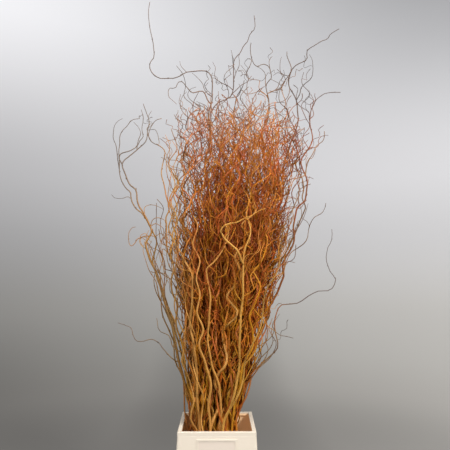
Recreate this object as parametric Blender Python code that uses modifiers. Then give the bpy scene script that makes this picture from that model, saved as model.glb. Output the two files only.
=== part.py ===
"""Curly willow branches standing in a square box holder.

Metres, +Z up, origin at the centre of the holder's foot. -Y is the front, where the holder has its
raised label frame. Each branch is one node: a winding stem and the side shoots that grow from it.
"""

import math
from collections import namedtuple

import bmesh
import bpy
import numpy as np
from mathutils import Vector

# The holder: an open box whose walls widen a little towards the foot.
HOLDER_HEIGHT = 0.380
FOOT_WIDTH = 0.290
RIM_WIDTH = 0.248
WALL = 0.0035
FLOOR_THICKNESS = 0.004
RIM_BAND = 0.015
RIM_PROUD = 0.0005
RIM_ROUND = 0.0015
LIP_WIDTH = 0.012
LIP_OVERHANG = 0.005
EDGE_ROUND = 0.005
FRAME_WIDTH = 0.127
FRAME_HEIGHT = 0.115
FRAME_BORDER = 0.006
FRAME_BELOW_RIM = 0.021
FRAME_PROUD = 0.0016
PANEL_DEPTH = 0.0002

# The bunch: half its width at a few heights, and how far its middle stands from the Z axis.
BUNCH_HEIGHTS = (0.0, 0.38, 0.50, 0.66, 0.83, 0.96, 1.10, 1.25, 1.40, 1.60)
BUNCH_RADII = (0.054, 0.076, 0.090, 0.122, 0.152, 0.176, 0.202, 0.226, 0.240, 0.215)
BUNCH_ACROSS = (0.0, -0.013, -0.008, 0.000, 0.004, 0.008, 0.018, 0.038, 0.055, 0.058)
DEPTH_SHARE = 0.80
ROOT_SHARE = 0.70

# Stems that follow no drawn route.
FREE_STEMS = 24
LOWEST_TOP = 1.26
HIGHEST_TOP = 1.60
TURN_ABOUT_BUNCH = 0.9
WAVE_HEIGHTS = (0.0, 0.38, 0.70, 1.10, 1.60)
WAVE_SIZES = (0.0, 0.010, 0.016, 0.018, 0.019)
WAVE_LENGTHS = (0.32, 0.26, 0.21, 0.17, 0.15)
RIPPLE_SHARE = 0.28

# Wood: radii at the foot and the tip of a stem, and how much of its stem's radius a shoot has.
STEM_RADII = (0.0026, 0.0046)
TIP_RADIUS = 0.0011
TAPER = 1.0
SHOOT_SHARE = 0.60
LEADER_SHARE = 0.75
THICKEST_SHOOT = 0.0032
SHOOT_TIP_RADIUS = 0.0009
STEM_SIDES = 4
SHOOT_SIDES = 3

# How a shoot winds: its angle to the stem, its coil's radius and pitch, its climb, and its point spacing.
Winding = namedtuple("Winding", "leave_angle coil_radii pitches climb spacing")
SHOOT_WINDING = Winding(math.radians(38), (0.010, 0.019), (0.10, 0.15), 0.75, 0.038)
LEADER_WINDING = Winding(math.radians(10), (0.007, 0.015), (0.16, 0.26), 0.5, 0.064)

# Each stem forks low into a second leader, and bears side shoots higher up.
LEADER_HEIGHTS = (0.14, 0.50)
LEADER_LENGTHS = (0.60, 0.90)
SHOOTS_PER_STEM = 2
SHOOT_LENGTHS = (0.20, 0.36)
LOWEST_SHOOT = 0.70
HIGHEST_SHOOT = 1.52
WIDEST_SHOOT = 1.20

# Spacing of the points along the wood, close where it winds most.
SPACING_HEIGHTS = (0.38, 0.60)
SPACINGS = (0.110, 0.049)
LIMB_SPACING = 0.038

# Room between branches, and between a branch and the holder.
CLEARANCE = 0.0010
SMALLEST_CLEARANCE = 0.0004
EASING_ROUNDS = 180
BEND_SPREAD = 0.12
PAIRS_EVERY = 5
FOOT_GAP = 0.0004
SEED = 7

BARKS = {
    "golden_bark": (0.46, 0.27, 0.055),
    "amber_bark": (0.42, 0.17, 0.045),
    "russet_bark": (0.30, 0.085, 0.035),
}

# Drawn stems: depth at the rim, depth at the tip, bow in depth, then (across, height) from the rim up.
ROUTES = {
    "front_fork": ((-0.07, -0.05, -0.11), (
        (0.0175, 0.38), (0.045, 0.455), (0.065, 0.54), (0.07, 0.63), (0.0725, 0.7175), (0.0825, 0.7925),
        (0.0825, 0.84), (0.0825, 0.8875), (0.0825, 0.925), (0.09, 0.9625), (0.1025, 0.995),
        (0.1025, 1.0275), (0.0925, 1.06), (0.1025, 1.1025), (0.11, 1.1375), (0.0925, 1.2075),
        (0.1225, 1.3), (0.1075, 1.38), (0.1275, 1.45))),
    "left_bright": ((-0.05, -0.02, -0.09), (
        (-0.0525, 0.38), (-0.0625, 0.465), (-0.065, 0.55), (-0.0725, 0.645), (-0.085, 0.72),
        (-0.08, 0.79), (-0.08, 0.8425), (-0.0875, 0.88), (-0.105, 0.9125), (-0.12, 0.945),
        (-0.1375, 0.975), (-0.1475, 1.005), (-0.1325, 1.0525), (-0.155, 1.115), (-0.1325, 1.1775),
        (-0.165, 1.25), (-0.1425, 1.31), (-0.1625, 1.385))),
    "left_loop": ((-0.02, -0.02, -0.05), (
        (-0.06, 0.38), (-0.0975, 0.495), (-0.125, 0.5875), (-0.1475, 0.69), (-0.175, 0.7775),
        (-0.19, 0.83), (-0.2075, 0.885), (-0.2275, 0.9225), (-0.2375, 0.955), (-0.24, 0.975),
        (-0.2275, 0.9975), (-0.22, 1.0175), (-0.23, 1.045), (-0.2425, 1.07), (-0.255, 1.09),
        (-0.265, 1.105), (-0.27, 1.1275), (-0.27, 1.1425), (-0.275, 1.16), (-0.2925, 1.1725),
        (-0.3025, 1.185), (-0.3125, 1.21), (-0.3225, 1.23), (-0.3275, 1.245), (-0.32, 1.26),
        (-0.3025, 1.275), (-0.2825, 1.295), (-0.27, 1.31), (-0.2575, 1.3225), (-0.2475, 1.34),
        (-0.245, 1.375), (-0.24, 1.405), (-0.25, 1.4375), (-0.2625, 1.4725))),
    "left_twin": ((0.0, 0.03, -0.02), (
        (-0.055, 0.38), (-0.075, 0.45), (-0.105, 0.55), (-0.1325, 0.65), (-0.1625, 0.745),
        (-0.1875, 0.82), (-0.205, 0.87), (-0.2225, 0.915), (-0.215, 0.9575), (-0.21, 0.9875),
        (-0.2225, 1.0175), (-0.2375, 1.045), (-0.2475, 1.065), (-0.265, 1.0875), (-0.2825, 1.1),
        (-0.2975, 1.1225), (-0.3025, 1.1425), (-0.305, 1.16), (-0.32, 1.1725), (-0.335, 1.1975),
        (-0.3425, 1.2175), (-0.3475, 1.24), (-0.3475, 1.265), (-0.35, 1.2925), (-0.3525, 1.315),
        (-0.35, 1.34), (-0.35, 1.365), (-0.34, 1.3875), (-0.3275, 1.4), (-0.315, 1.42), (-0.3025, 1.43),
        (-0.28, 1.435))),
    "tall_left": ((0.03, 0.05, 0.03), (
        (-0.035, 0.38), (-0.045, 0.44), (-0.0375, 0.54), (-0.0525, 0.645), (-0.04, 0.7525),
        (-0.055, 0.8525), (-0.0325, 0.96), (-0.0475, 1.0675), (-0.03, 1.1775), (-0.045, 1.2825),
        (-0.025, 1.3725), (-0.035, 1.45), (-0.02, 1.5125), (-0.02, 1.5425), (-0.0175, 1.57),
        (-0.0175, 1.595), (-0.025, 1.615), (-0.04, 1.63), (-0.0625, 1.6325), (-0.0925, 1.6275),
        (-0.1175, 1.6225), (-0.14, 1.61), (-0.1675, 1.6025), (-0.185, 1.6025), (-0.2075, 1.6),
        (-0.2275, 1.6075), (-0.2425, 1.62), (-0.2525, 1.635), (-0.2525, 1.6575), (-0.24, 1.6725),
        (-0.235, 1.6875), (-0.2375, 1.7175), (-0.2425, 1.7475), (-0.25, 1.7825), (-0.255, 1.8125),
        (-0.2575, 1.85), (-0.2525, 1.8875))),
    "crown_middle": ((0.02, 0.0, 0.05), (
        (-0.01, 0.38), (0.0075, 0.46), (-0.005, 0.57), (0.0125, 0.68), (0.0, 0.7875), (0.025, 0.89),
        (0.005, 0.995), (0.0275, 1.105), (-0.0025, 1.215), (0.01, 1.3175), (-0.025, 1.4),
        (-0.0275, 1.45), (-0.0175, 1.48), (0.005, 1.505), (0.03, 1.5175), (0.05, 1.535), (0.0575, 1.56),
        (0.0575, 1.59), (0.0575, 1.6125), (0.06, 1.635), (0.06, 1.6525), (0.07, 1.67), (0.085, 1.6875),
        (0.09, 1.7025), (0.0975, 1.7175), (0.1125, 1.7325), (0.1125, 1.7425), (0.1225, 1.755),
        (0.135, 1.765), (0.1375, 1.7775), (0.135, 1.8125))),
    "crown_right": ((0.0, -0.04, 0.04), (
        (0.0225, 0.38), (0.045, 0.455), (0.04, 0.565), (0.0675, 0.665), (0.08, 0.765), (0.065, 0.855),
        (0.09, 0.96), (0.115, 1.0625), (0.135, 1.1775), (0.175, 1.2825), (0.16, 1.385), (0.185, 1.4475),
        (0.1875, 1.4925), (0.1825, 1.52), (0.1775, 1.55), (0.185, 1.5675), (0.195, 1.58), (0.19, 1.6025),
        (0.1825, 1.62), (0.1625, 1.625), (0.145, 1.615), (0.13, 1.6225), (0.1225, 1.635),
        (0.1175, 1.655), (0.1175, 1.6775), (0.12, 1.69))),
    "right_top": ((0.04, 0.06, 0.05), (
        (0.045, 0.38), (0.075, 0.445), (0.1, 0.5475), (0.12, 0.65), (0.16, 0.755), (0.1675, 0.8525),
        (0.1975, 0.9575), (0.215, 1.0675), (0.24, 1.1725), (0.2475, 1.2775), (0.2775, 1.3725),
        (0.3025, 1.4425), (0.3025, 1.4825), (0.3, 1.5125), (0.29, 1.545), (0.2725, 1.5775),
        (0.27, 1.6075), (0.275, 1.6275), (0.2825, 1.6475), (0.2975, 1.665), (0.3175, 1.6775),
        (0.335, 1.685), (0.3425, 1.6975), (0.34, 1.7125), (0.345, 1.725), (0.365, 1.735),
        (0.3825, 1.745), (0.4, 1.755), (0.415, 1.76), (0.42, 1.77), (0.4275, 1.7775), (0.4425, 1.785),
        (0.4575, 1.7925))),
    "right_arch": ((0.01, 0.0, -0.05), (
        (0.0575, 0.38), (0.0775, 0.4275), (0.1025, 0.5125), (0.12, 0.61), (0.1575, 0.6975),
        (0.175, 0.7525), (0.205, 0.81), (0.2175, 0.845), (0.2275, 0.87), (0.225, 0.9025), (0.2325, 0.93),
        (0.25, 0.96), (0.2625, 0.9875), (0.265, 1.0075), (0.2625, 1.0325), (0.265, 1.0575),
        (0.27, 1.0925), (0.2825, 1.11), (0.3, 1.1275), (0.3075, 1.1625), (0.31, 1.19), (0.3025, 1.215),
        (0.2925, 1.24), (0.29, 1.265), (0.2975, 1.28), (0.3125, 1.3), (0.3275, 1.3275), (0.3325, 1.3525),
        (0.33, 1.3775), (0.325, 1.41), (0.3275, 1.4475), (0.3375, 1.4675), (0.35, 1.49), (0.37, 1.5075),
        (0.39, 1.52), (0.415, 1.525), (0.44, 1.525))),
    "right_side": ((0.05, 0.03, 0.04), (
        (0.035, 0.38), (0.0625, 0.4375), (0.085, 0.5325), (0.115, 0.625), (0.145, 0.7225),
        (0.185, 0.815), (0.22, 0.8975), (0.2575, 0.97), (0.29, 1.0375), (0.3025, 1.0675), (0.315, 1.095),
        (0.3225, 1.12), (0.31, 1.1525), (0.3175, 1.19), (0.31, 1.2275), (0.2925, 1.255), (0.285, 1.2825),
        (0.295, 1.31), (0.2875, 1.34), (0.2725, 1.365), (0.2575, 1.3875), (0.25, 1.4175),
        (0.2575, 1.4525), (0.2425, 1.4825))),
    "middle_bright": ((-0.06, -0.04, -0.09), (
        (0.0075, 0.38), (0.0, 0.505), (-0.02, 0.5775), (-0.035, 0.6625), (-0.03, 0.7275),
        (-0.025, 0.7925), (-0.0325, 0.845), (-0.0375, 0.885), (-0.03, 0.8975), (-0.0125, 0.9125),
        (0.01, 0.945), (0.0275, 0.9775), (0.0375, 1.0075), (0.025, 1.0475), (0.035, 1.1075),
        (0.015, 1.175), (0.035, 1.2425), (0.015, 1.31), (0.04, 1.38))),
    "right_bright": ((-0.04, 0.0, -0.08), (
        (0.045, 0.38), (0.07, 0.5), (0.085, 0.58), (0.115, 0.635), (0.1175, 0.6925), (0.105, 0.735),
        (0.1275, 0.7875), (0.14, 0.83), (0.125, 0.8675), (0.1175, 0.885), (0.1375, 0.905),
        (0.155, 0.9375), (0.1675, 0.99), (0.1525, 1.0375), (0.1775, 1.1025), (0.2, 1.16),
        (0.1775, 1.225), (0.215, 1.2875), (0.2025, 1.3625), (0.235, 1.4325))),
    "left_golden": ((-0.03, -0.04, -0.06), (
        (-0.05, 0.38), (-0.0775, 0.4575), (-0.0975, 0.5375), (-0.1075, 0.6075), (-0.1175, 0.6575),
        (-0.135, 0.71), (-0.13, 0.77), (-0.15, 0.8125), (-0.1525, 0.8525), (-0.145, 0.895),
        (-0.165, 0.9425), (-0.1725, 0.9875), (-0.17, 1.035), (-0.1725, 1.06), (-0.1625, 1.0825),
        (-0.1625, 1.105), (-0.17, 1.13), (-0.175, 1.1525), (-0.1825, 1.18), (-0.1875, 1.205),
        (-0.185, 1.235), (-0.18, 1.265), (-0.1775, 1.29), (-0.195, 1.3075), (-0.215, 1.3175),
        (-0.23, 1.33), (-0.2375, 1.35), (-0.23, 1.3775), (-0.2125, 1.4025), (-0.1925, 1.4125))),
    "middle_low": ((-0.075, -0.05, -0.07), (
        (-0.02, 0.38), (-0.025, 0.4525), (-0.02, 0.53), (-0.0375, 0.595), (-0.0575, 0.65),
        (-0.045, 0.7025), (-0.065, 0.755), (-0.055, 0.81), (-0.07, 0.8625), (-0.0575, 0.92),
        (-0.0825, 0.9725), (-0.0675, 1.0325), (-0.095, 1.0925), (-0.0725, 1.1525), (-0.0975, 1.2225),
        (-0.0775, 1.2925))),
}

# Drawn side shoots: their stem, share of its radius, depth at root and tip, then (across, height).
LIMBS = (
    ("front_fork", 1.35, (-0.18, -0.19), (
        (0.0825, 0.925), (0.065, 0.945), (0.0425, 0.9675), (0.025, 0.9825), (0.015, 1.0), (0.01, 1.01),
        (0.0175, 1.0225), (0.0275, 1.0275), (0.0425, 1.0325), (0.06, 1.035), (0.075, 1.0425),
        (0.09, 1.05), (0.1075, 1.055), (0.1225, 1.065), (0.1375, 1.075), (0.15, 1.08))),
    ("right_arch", 0.5, (-0.03, -0.02), (
        (0.0925, 0.5025), (0.105, 0.5325), (0.1275, 0.5575), (0.1575, 0.5825), (0.1825, 0.605),
        (0.1975, 0.6225), (0.2025, 0.64), (0.2, 0.6625), (0.195, 0.6925), (0.195, 0.7225), (0.2, 0.74),
        (0.2075, 0.76), (0.2175, 0.77), (0.235, 0.7725), (0.255, 0.775), (0.2775, 0.7775),
        (0.295, 0.7875), (0.31, 0.7975), (0.3275, 0.8075), (0.35, 0.8175), (0.375, 0.8175),
        (0.3925, 0.825), (0.4025, 0.84), (0.4075, 0.855), (0.4, 0.87), (0.3875, 0.885), (0.38, 0.905),
        (0.375, 0.9225), (0.3775, 0.9425), (0.3825, 0.965), (0.3925, 0.9825), (0.3975, 1.0025),
        (0.3975, 1.03))),
    ("right_bright", 0.5, (-0.11, -0.1), (
        (0.125, 0.78), (0.1425, 0.735), (0.155, 0.72), (0.165, 0.705), (0.18, 0.695), (0.195, 0.6825),
        (0.2075, 0.675), (0.2275, 0.6725), (0.245, 0.6675))),
    ("left_loop", 0.45, (-0.04, -0.03), (
        (-0.1225, 0.57), (-0.1475, 0.595), (-0.1775, 0.625), (-0.19, 0.6425), (-0.205, 0.6525),
        (-0.2175, 0.6575), (-0.2325, 0.655), (-0.2475, 0.65), (-0.265, 0.65), (-0.275, 0.66),
        (-0.2825, 0.675), (-0.285, 0.6875), (-0.2925, 0.6975), (-0.3125, 0.7025), (-0.335, 0.71))),
    ("left_loop", 0.6, (-0.06, -0.06), (
        (-0.2275, 1.01), (-0.24, 1.0025), (-0.2575, 0.9975), (-0.2725, 0.99), (-0.28, 0.9775),
        (-0.29, 0.9675), (-0.2975, 0.975), (-0.3, 0.995), (-0.2975, 1.015), (-0.2875, 1.03),
        (-0.275, 1.0325))),
)


def unit(vectors):
    """The vectors at length 1."""
    return vectors / np.maximum(np.linalg.norm(vectors, axis=-1, keepdims=True), 1e-12)


def curve_through(points, heights=(0.0, 1.0), spacings=(0.04, 0.04)):
    """Points along the Catmull-Rom curve through `points`, spaced as `spacings` says at each height."""
    points = np.asarray(points, float)
    held = np.vstack([2 * points[0] - points[1], points, 2 * points[-1] - points[-2]])
    a, b, c, d = held[:-3, None], held[1:-2, None], held[2:-1, None], held[3:, None]
    t = np.linspace(0, 1, 12, endpoint=False)[None, :, None]
    fine = 2 * b + (c - a) * t + (2 * a - 5 * b + 4 * c - d) * t**2 + (3 * b - a - 3 * c + d) * t**3
    fine = np.vstack([fine.reshape(-1, 3) / 2, points[-1:]])
    steps = np.linalg.norm(np.diff(fine, axis=0), axis=1)
    middles = (fine[1:, 2] + fine[:-1, 2]) / 2
    stations = np.concatenate([[0], np.cumsum(steps / np.interp(middles, heights, spacings))])
    wanted = np.linspace(0, stations[-1], max(3, round(stations[-1])) + 1)
    return np.column_stack([np.interp(wanted, stations, fine[:, axis]) for axis in range(3)])


def drawn_route(depths, across_and_height):
    """A route's (across, height) points with their depth, which runs from root to tip with a bow."""
    flat = np.array(across_and_height)
    t = np.linspace(0, 1, len(flat))
    bow = depths[2] if len(depths) > 2 else 0.0
    depth = depths[0] * (1 - t) + depths[1] * t + bow * np.sin(math.pi * t)
    return np.column_stack([flat[:, 0], depth, flat[:, 1]])


def drawn_stem(depths, across_and_height):
    """A drawn route, with the hidden stretch from the holder's floor to its rim."""
    route = drawn_route(depths, across_and_height)
    foot = route[0] * (ROOT_SHARE, ROOT_SHARE, 0) + (0, 0, FLOOR_THICKNESS + FOOT_GAP)
    knee = (foot * 0.6 + route[0] * 0.4) * (1, 1, 0) + (0, 0, 0.45 * HOLDER_HEIGHT)
    return curve_through(np.vstack([foot, knee, route]), SPACING_HEIGHTS, SPACINGS)


def free_stem(number, rng):
    """A stem placed by the sunflower rule in the bunch's outline. It turns and waves as it climbs."""
    share = math.sqrt((number + 0.5) / FREE_STEMS)
    angle = number * math.pi * (3 - math.sqrt(5)) + rng.uniform(-0.3, 0.3)
    top = HIGHEST_TOP - (HIGHEST_TOP - LOWEST_TOP) * (0.55 * share + 0.45 * rng.random())
    height = np.arange(FLOOR_THICKNESS + FOOT_GAP, top, 0.025)
    turn = angle + rng.uniform(-1, 1) * TURN_ABOUT_BUNCH * (height / top) ** 1.5
    reach = share * np.interp(height, BUNCH_HEIGHTS, BUNCH_RADII)
    wave = np.interp(height, WAVE_HEIGHTS, WAVE_SIZES) * rng.uniform(0.75, 1.3)
    waves = np.cumsum(height[1] - height[0] + 0 * height) / np.interp(height, WAVE_HEIGHTS, WAVE_LENGTHS)
    phase = rng.uniform(0, 2 * math.pi, 4)
    pace = 2 * math.pi * rng.uniform(0.85, 1.2, 2)
    ripple = [np.sin(1.9 * pace[1 - k] * waves + phase[k + 2]) for k in (0, 1)]
    sway = [np.sin(pace[k] * waves + phase[k]) + RIPPLE_SHARE * ripple[k] for k in (0, 1)]
    middle = np.interp(height, BUNCH_HEIGHTS, BUNCH_ACROSS)
    points = np.column_stack([
        middle + reach * np.cos(turn) + wave * sway[0],
        DEPTH_SHARE * reach * np.sin(turn) + wave * sway[1],
        height,
    ])
    return curve_through(points, SPACING_HEIGHTS, SPACINGS)


def corkscrew(start, along, outward, length, winding, rng):
    """A shoot: it leaves its stem, climbs back towards the vertical and winds about its own line."""
    heading = unit(along * math.cos(winding.leave_angle) + outward * math.sin(winding.leave_angle))
    run = np.linspace(0, length, max(4, round(length / winding.spacing)) + 1)[:, None]
    climb = winding.climb * rng.uniform(0.3, 1.3) * (run / length)
    headings = unit(heading + climb * (0, 0, 1))
    line = start + np.vstack([np.zeros(3), np.cumsum(headings[1:] * np.diff(run, axis=0), axis=0)])
    side = unit(np.cross(heading, (0.3, 0.2, 0.93)))
    over = np.cross(heading, side)
    phase = rng.uniform(0, 2 * math.pi)
    angle = phase + 2 * math.pi * run / rng.uniform(*winding.pitches) * rng.choice((-1, 1))
    coil = rng.uniform(*winding.coil_radii) * np.minimum(1, run / 0.05)
    sideways = (np.cos(angle) - math.cos(phase)) * side + (np.sin(angle) - math.sin(phase)) * over
    return line + coil * sideways


class Bunch:
    """Every branch's points in one array, so that all of them can be eased apart together.

    A path is a stem or a shoot: its branch, the numbers of its points, and its radii. A shoot's first
    point is the point of the stem that it grows from, so it moves with the stem.
    """

    def __init__(self):
        self.points = np.zeros((0, 3))
        self.paths = []

    def add(self, branch, points, radii, grows_from=None):
        first = len(self.points)
        fresh = points if grows_from is None else points[1:]
        numbers = np.arange(first, first + len(fresh))
        if grows_from is not None:
            numbers = np.concatenate([[grows_from], numbers])
        self.points = np.vstack([self.points, fresh])
        self.paths.append((branch, numbers, radii))
        return numbers

    def segments(self):
        """The two ends, the radius, the branch and the path of each straight piece of wood."""
        rows = [
            np.column_stack([numbers[:-1], numbers[1:], np.full(len(numbers) - 1, k)])
            for k, (_, numbers, _) in enumerate(self.paths)
        ]
        ends = np.vstack(rows)
        radii = np.concatenate([np.maximum(radii[:-1], radii[1:]) for _, _, radii in self.paths])
        branches = np.array([branch for branch, _, _ in self.paths])[ends[:, 2]]
        return ends[:, :2], radii, branches, ends[:, 2]


def near_pairs(points, ends, radii, branches, margin):
    """Pairs of pieces of different branches whose middles are near enough for them to touch."""
    a, b = points[ends[:, 0]], points[ends[:, 1]]
    middle = ((a + b) / 2).astype(np.float32)
    half = (np.linalg.norm(a - b, axis=1) / 2 + radii + margin / 2).astype(np.float32)
    square = (middle**2).sum(axis=1)
    apart = square[:, None] + square[None, :] - 2 * middle @ middle.T
    near = (apart < (half[:, None] + half[None, :]) ** 2) & (branches[:, None] < branches[None, :])
    return np.nonzero(near)


def closest(p1, q1, p2, q2):
    """How far along each of two pieces of wood, as a share of it, they come closest."""
    d1, d2, r = q1 - p1, q2 - p2, p1 - p2
    a, e, b = (d1 * d1).sum(1), (d2 * d2).sum(1), (d1 * d2).sum(1)
    c, f = (d1 * r).sum(1), (d2 * r).sum(1)
    spread = np.maximum(a * e - b * b, 1e-14)
    s = np.clip((b * f - c * e) / spread, 0, 1)
    t = (b * s + f) / e
    s = np.where(t < 0, np.clip(-c / a, 0, 1), np.where(t > 1, np.clip((b - c) / a, 0, 1), s))
    return s, np.clip(t, 0, 1)


def gaps(points, ends, pairs):
    """For each pair: the shares along both pieces, the way from the second to the first, its length."""
    i, j = pairs
    p1, q1, p2, q2 = points[ends[i, 0]], points[ends[i, 1]], points[ends[j, 0]], points[ends[j, 1]]
    s, t = closest(p1, q1, p2, q2)
    way = (p1 + (q1 - p1) * s[:, None]) - (p2 + (q2 - p2) * t[:, None])
    return s, t, way, np.linalg.norm(way, axis=1)


def hold_in_box(bunch):
    """Feet stand on the holder's floor, upright, and nothing inside the holder reaches its walls."""
    for _, numbers, radii in bunch.paths:
        if bunch.points[numbers[0], 2] > FLOOR_THICKNESS + 2 * FOOT_GAP:
            continue
        foot, second = numbers[0], numbers[1]
        bunch.points[foot, :2] = bunch.points[second, :2]
        bunch.points[foot, 2] = FLOOR_THICKNESS + FOOT_GAP
    low = bunch.points[:, 2] < HOLDER_HEIGHT + 0.03
    room = RIM_WIDTH / 2 - LIP_WIDTH - STEM_RADII[1] - 2 * CLEARANCE
    bunch.points[low, :2] = np.clip(bunch.points[low, :2], -room, room)


def ease_apart(bunch, spread):
    """Pushes branches apart where they cross. `spread` evens each push out along its branch."""
    ends, radii, branches, _ = bunch.segments()
    start = bunch.points.copy()
    tied = np.vstack([ends, ends[:, ::-1]])
    ties = np.maximum(np.bincount(tied[:, 0], minlength=len(start)), 1)[:, None]
    for turn in range(EASING_ROUNDS):
        if turn % PAIRS_EVERY == 0:
            pairs = near_pairs(bunch.points, ends, radii, branches, 0.008)
        s, t, way, far = gaps(bunch.points, ends, pairs)
        i, j = pairs
        short = radii[i] + radii[j] + CLEARANCE - far
        hit = short > 0
        if turn > 0 and not hit.any():
            break
        push = unit(way[hit] + (1e-7, 2e-7, 0)) * (short[hit] * 0.55)[:, None]
        push[:, 2] *= 0.5
        moves = np.zeros_like(bunch.points)
        for piece, share, sign in ((i[hit], s[hit], 1), (j[hit], t[hit], -1)):
            np.add.at(moves, ends[piece, 0], sign * push * (1 - share)[:, None])
            np.add.at(moves, ends[piece, 1], sign * push * share[:, None])
        bunch.points += moves
        bend = bunch.points - start
        around = np.zeros_like(bend)
        np.add.at(around, tied[:, 0], bend[tied[:, 1]])
        bunch.points += spread * (around / ties - bend)
        hold_in_box(bunch)


def drop_crossing_shoots(bunch, stem_count):
    """Leaves out each shoot that still touches another branch. The stems come first among the paths."""
    ends, radii, branches, paths = bunch.segments()
    pairs = near_pairs(bunch.points, ends, radii, branches, 0.004)
    far = gaps(bunch.points, ends, pairs)[3]
    i, j = pairs
    touching = far < radii[i] + radii[j] + SMALLEST_CLEARANCE
    dropped = set()
    for first, second in sorted(set(zip(paths[i[touching]].tolist(), paths[j[touching]].tolist()))):
        later = max(first, second)
        if later < stem_count:
            print("stems", first, "and", second, "touch")
        elif first not in dropped and second not in dropped:
            dropped.add(later)
    bunch.paths = [path for k, path in enumerate(bunch.paths) if k not in dropped]
    return len(dropped)


def grow_bunch():
    """All branches, drawn and free, with their shoots, eased apart."""
    rng = np.random.default_rng(SEED)
    bunch = Bunch()
    names = list(ROUTES) + [f"free_{k + 1:02d}" for k in range(FREE_STEMS)]
    stems = []
    for branch, name in enumerate(names):
        points = drawn_stem(*ROUTES[name]) if name in ROUTES else free_stem(branch - len(ROUTES), rng)
        grown = np.linspace(0, 1, len(points))
        radii = rng.uniform(*STEM_RADII) * (1 - grown) ** TAPER + TIP_RADIUS
        stems.append((branch, name, bunch.add(branch, points, radii), radii))
    for parent, share, depths, flat in LIMBS:
        branch, _, numbers, radii = stems[names.index(parent)]
        route = drawn_route(depths, flat)
        at = int(np.argmin(np.linalg.norm(bunch.points[numbers] - route[0], axis=1)))
        route[0] = bunch.points[numbers[at]]
        points = curve_through(route, spacings=(LIMB_SPACING, LIMB_SPACING))
        thin = np.linspace(share * radii[at], SHOOT_TIP_RADIUS, len(points))
        bunch.add(branch, points, thin, numbers[at])
    for branch, _, numbers, radii in stems:
        add_leader(bunch, branch, numbers, radii, rng)
    for branch, _, numbers, radii in stems:
        add_shoots(bunch, branch, numbers, radii, rng)
    for spread in (BEND_SPREAD, 0.0):
        ease_apart(bunch, spread)
    left_out = drop_crossing_shoots(bunch, len(names))
    print(len(names), "branches,", len(bunch.paths), "paths,", left_out, "shoots left out")
    return bunch, names


def add_leader(bunch, branch, numbers, radii, rng):
    """Forks the stem low down into a second leader, which climbs beside it."""
    heights = bunch.points[numbers, 2]
    at = int(np.argmin(np.abs(heights - rng.uniform(*LEADER_HEIGHTS))))
    here = bunch.points[numbers[at]]
    along = unit(bunch.points[numbers[at + 1]] - bunch.points[numbers[at - 1]])
    turn = rng.uniform(0, 2 * math.pi)
    outward = np.array([math.cos(turn), math.sin(turn), 0.0])
    left = np.linalg.norm(bunch.points[numbers[-1]] - here)
    length = min(rng.uniform(*LEADER_LENGTHS), 0.9 * left)
    points = corkscrew(here, along, outward, length, LEADER_WINDING, rng)
    thin = np.linspace(LEADER_SHARE * radii[at], SHOOT_TIP_RADIUS, len(points))
    bunch.add(branch, points, thin, numbers[at])


def add_shoots(bunch, branch, numbers, radii, rng):
    """Spaces side shoots along the upper part of a stem, each turned on from the last about the stem."""
    heights = bunch.points[numbers, 2]
    usable = np.nonzero((heights > LOWEST_SHOOT) & (heights < HIGHEST_SHOOT))[0][:-2]
    picked = np.linspace(0.10, 0.85, SHOOTS_PER_STEM) * (len(usable) - 1)
    picked = np.round(picked + rng.uniform(-1.2, 1.2, SHOOTS_PER_STEM))
    picked = np.unique(np.clip(picked, 0, len(usable) - 1).astype(int))
    turn = rng.uniform(0, 2 * math.pi)
    for k, at in enumerate(usable[picked]):
        here = bunch.points[numbers[at]]
        along = unit(bunch.points[numbers[at + 1]] - bunch.points[numbers[at - 1]])
        middle = np.array([np.interp(here[2], BUNCH_HEIGHTS, BUNCH_ACROSS), 0, here[2]])
        away = unit((here - middle) * (1, 1, 0))
        angle = turn + k * 2.4
        off = np.hypot(here[0] - middle[0], here[1] / DEPTH_SHARE)
        reach = off / np.interp(here[2], BUNCH_HEIGHTS, BUNCH_RADII)
        if reach > WIDEST_SHOOT:
            continue
        own_way = np.array([math.cos(angle), math.sin(angle), 0.15])
        outward = unit(own_way + away * (0.8 if reach < 1 else -0.9))
        left = np.linalg.norm(bunch.points[numbers[-1]] - here)
        length = min(rng.uniform(*SHOOT_LENGTHS), 0.08 + 0.7 * left)
        points = corkscrew(here, along, outward, length, SHOOT_WINDING, rng)
        thick = min(SHOOT_SHARE * radii[at], THICKEST_SHOOT)
        bunch.add(branch, points, np.linspace(thick, SHOOT_TIP_RADIUS, len(points)), numbers[at])


def material(name, colour, roughness):
    """A plain Principled material."""
    made = bpy.data.materials.new(name)
    made.use_nodes = True
    shader = made.node_tree.nodes["Principled BSDF"]
    shader.inputs["Base Color"].default_value = (*colour, 1)
    shader.inputs["Roughness"].default_value = roughness
    shader.inputs["Metallic"].default_value = 0
    return made


def link(obj, collection):
    collection.objects.link(obj)
    return obj


def hidden(obj):
    """Marks a cutter or guide, which is no part of the object."""
    obj.hide_render = True
    obj.display_type = "WIRE"
    return obj


def section(sides, helpers):
    """A closed outline of radius 1 with this many sides, for a curve's cross-section."""
    curve = bpy.data.curves.new(f"section_{sides}", "CURVE")
    curve.dimensions = "2D"
    spline = curve.splines.new("POLY")
    spline.points.add(sides - 1)
    for k, point in enumerate(spline.points):
        angle = 2 * math.pi * (k + 0.5) / sides
        point.co = (math.cos(angle), math.sin(angle), 0, 1)
    spline.use_cyclic_u = True
    return link(hidden(bpy.data.objects.new(curve.name, curve)), helpers)


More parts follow.
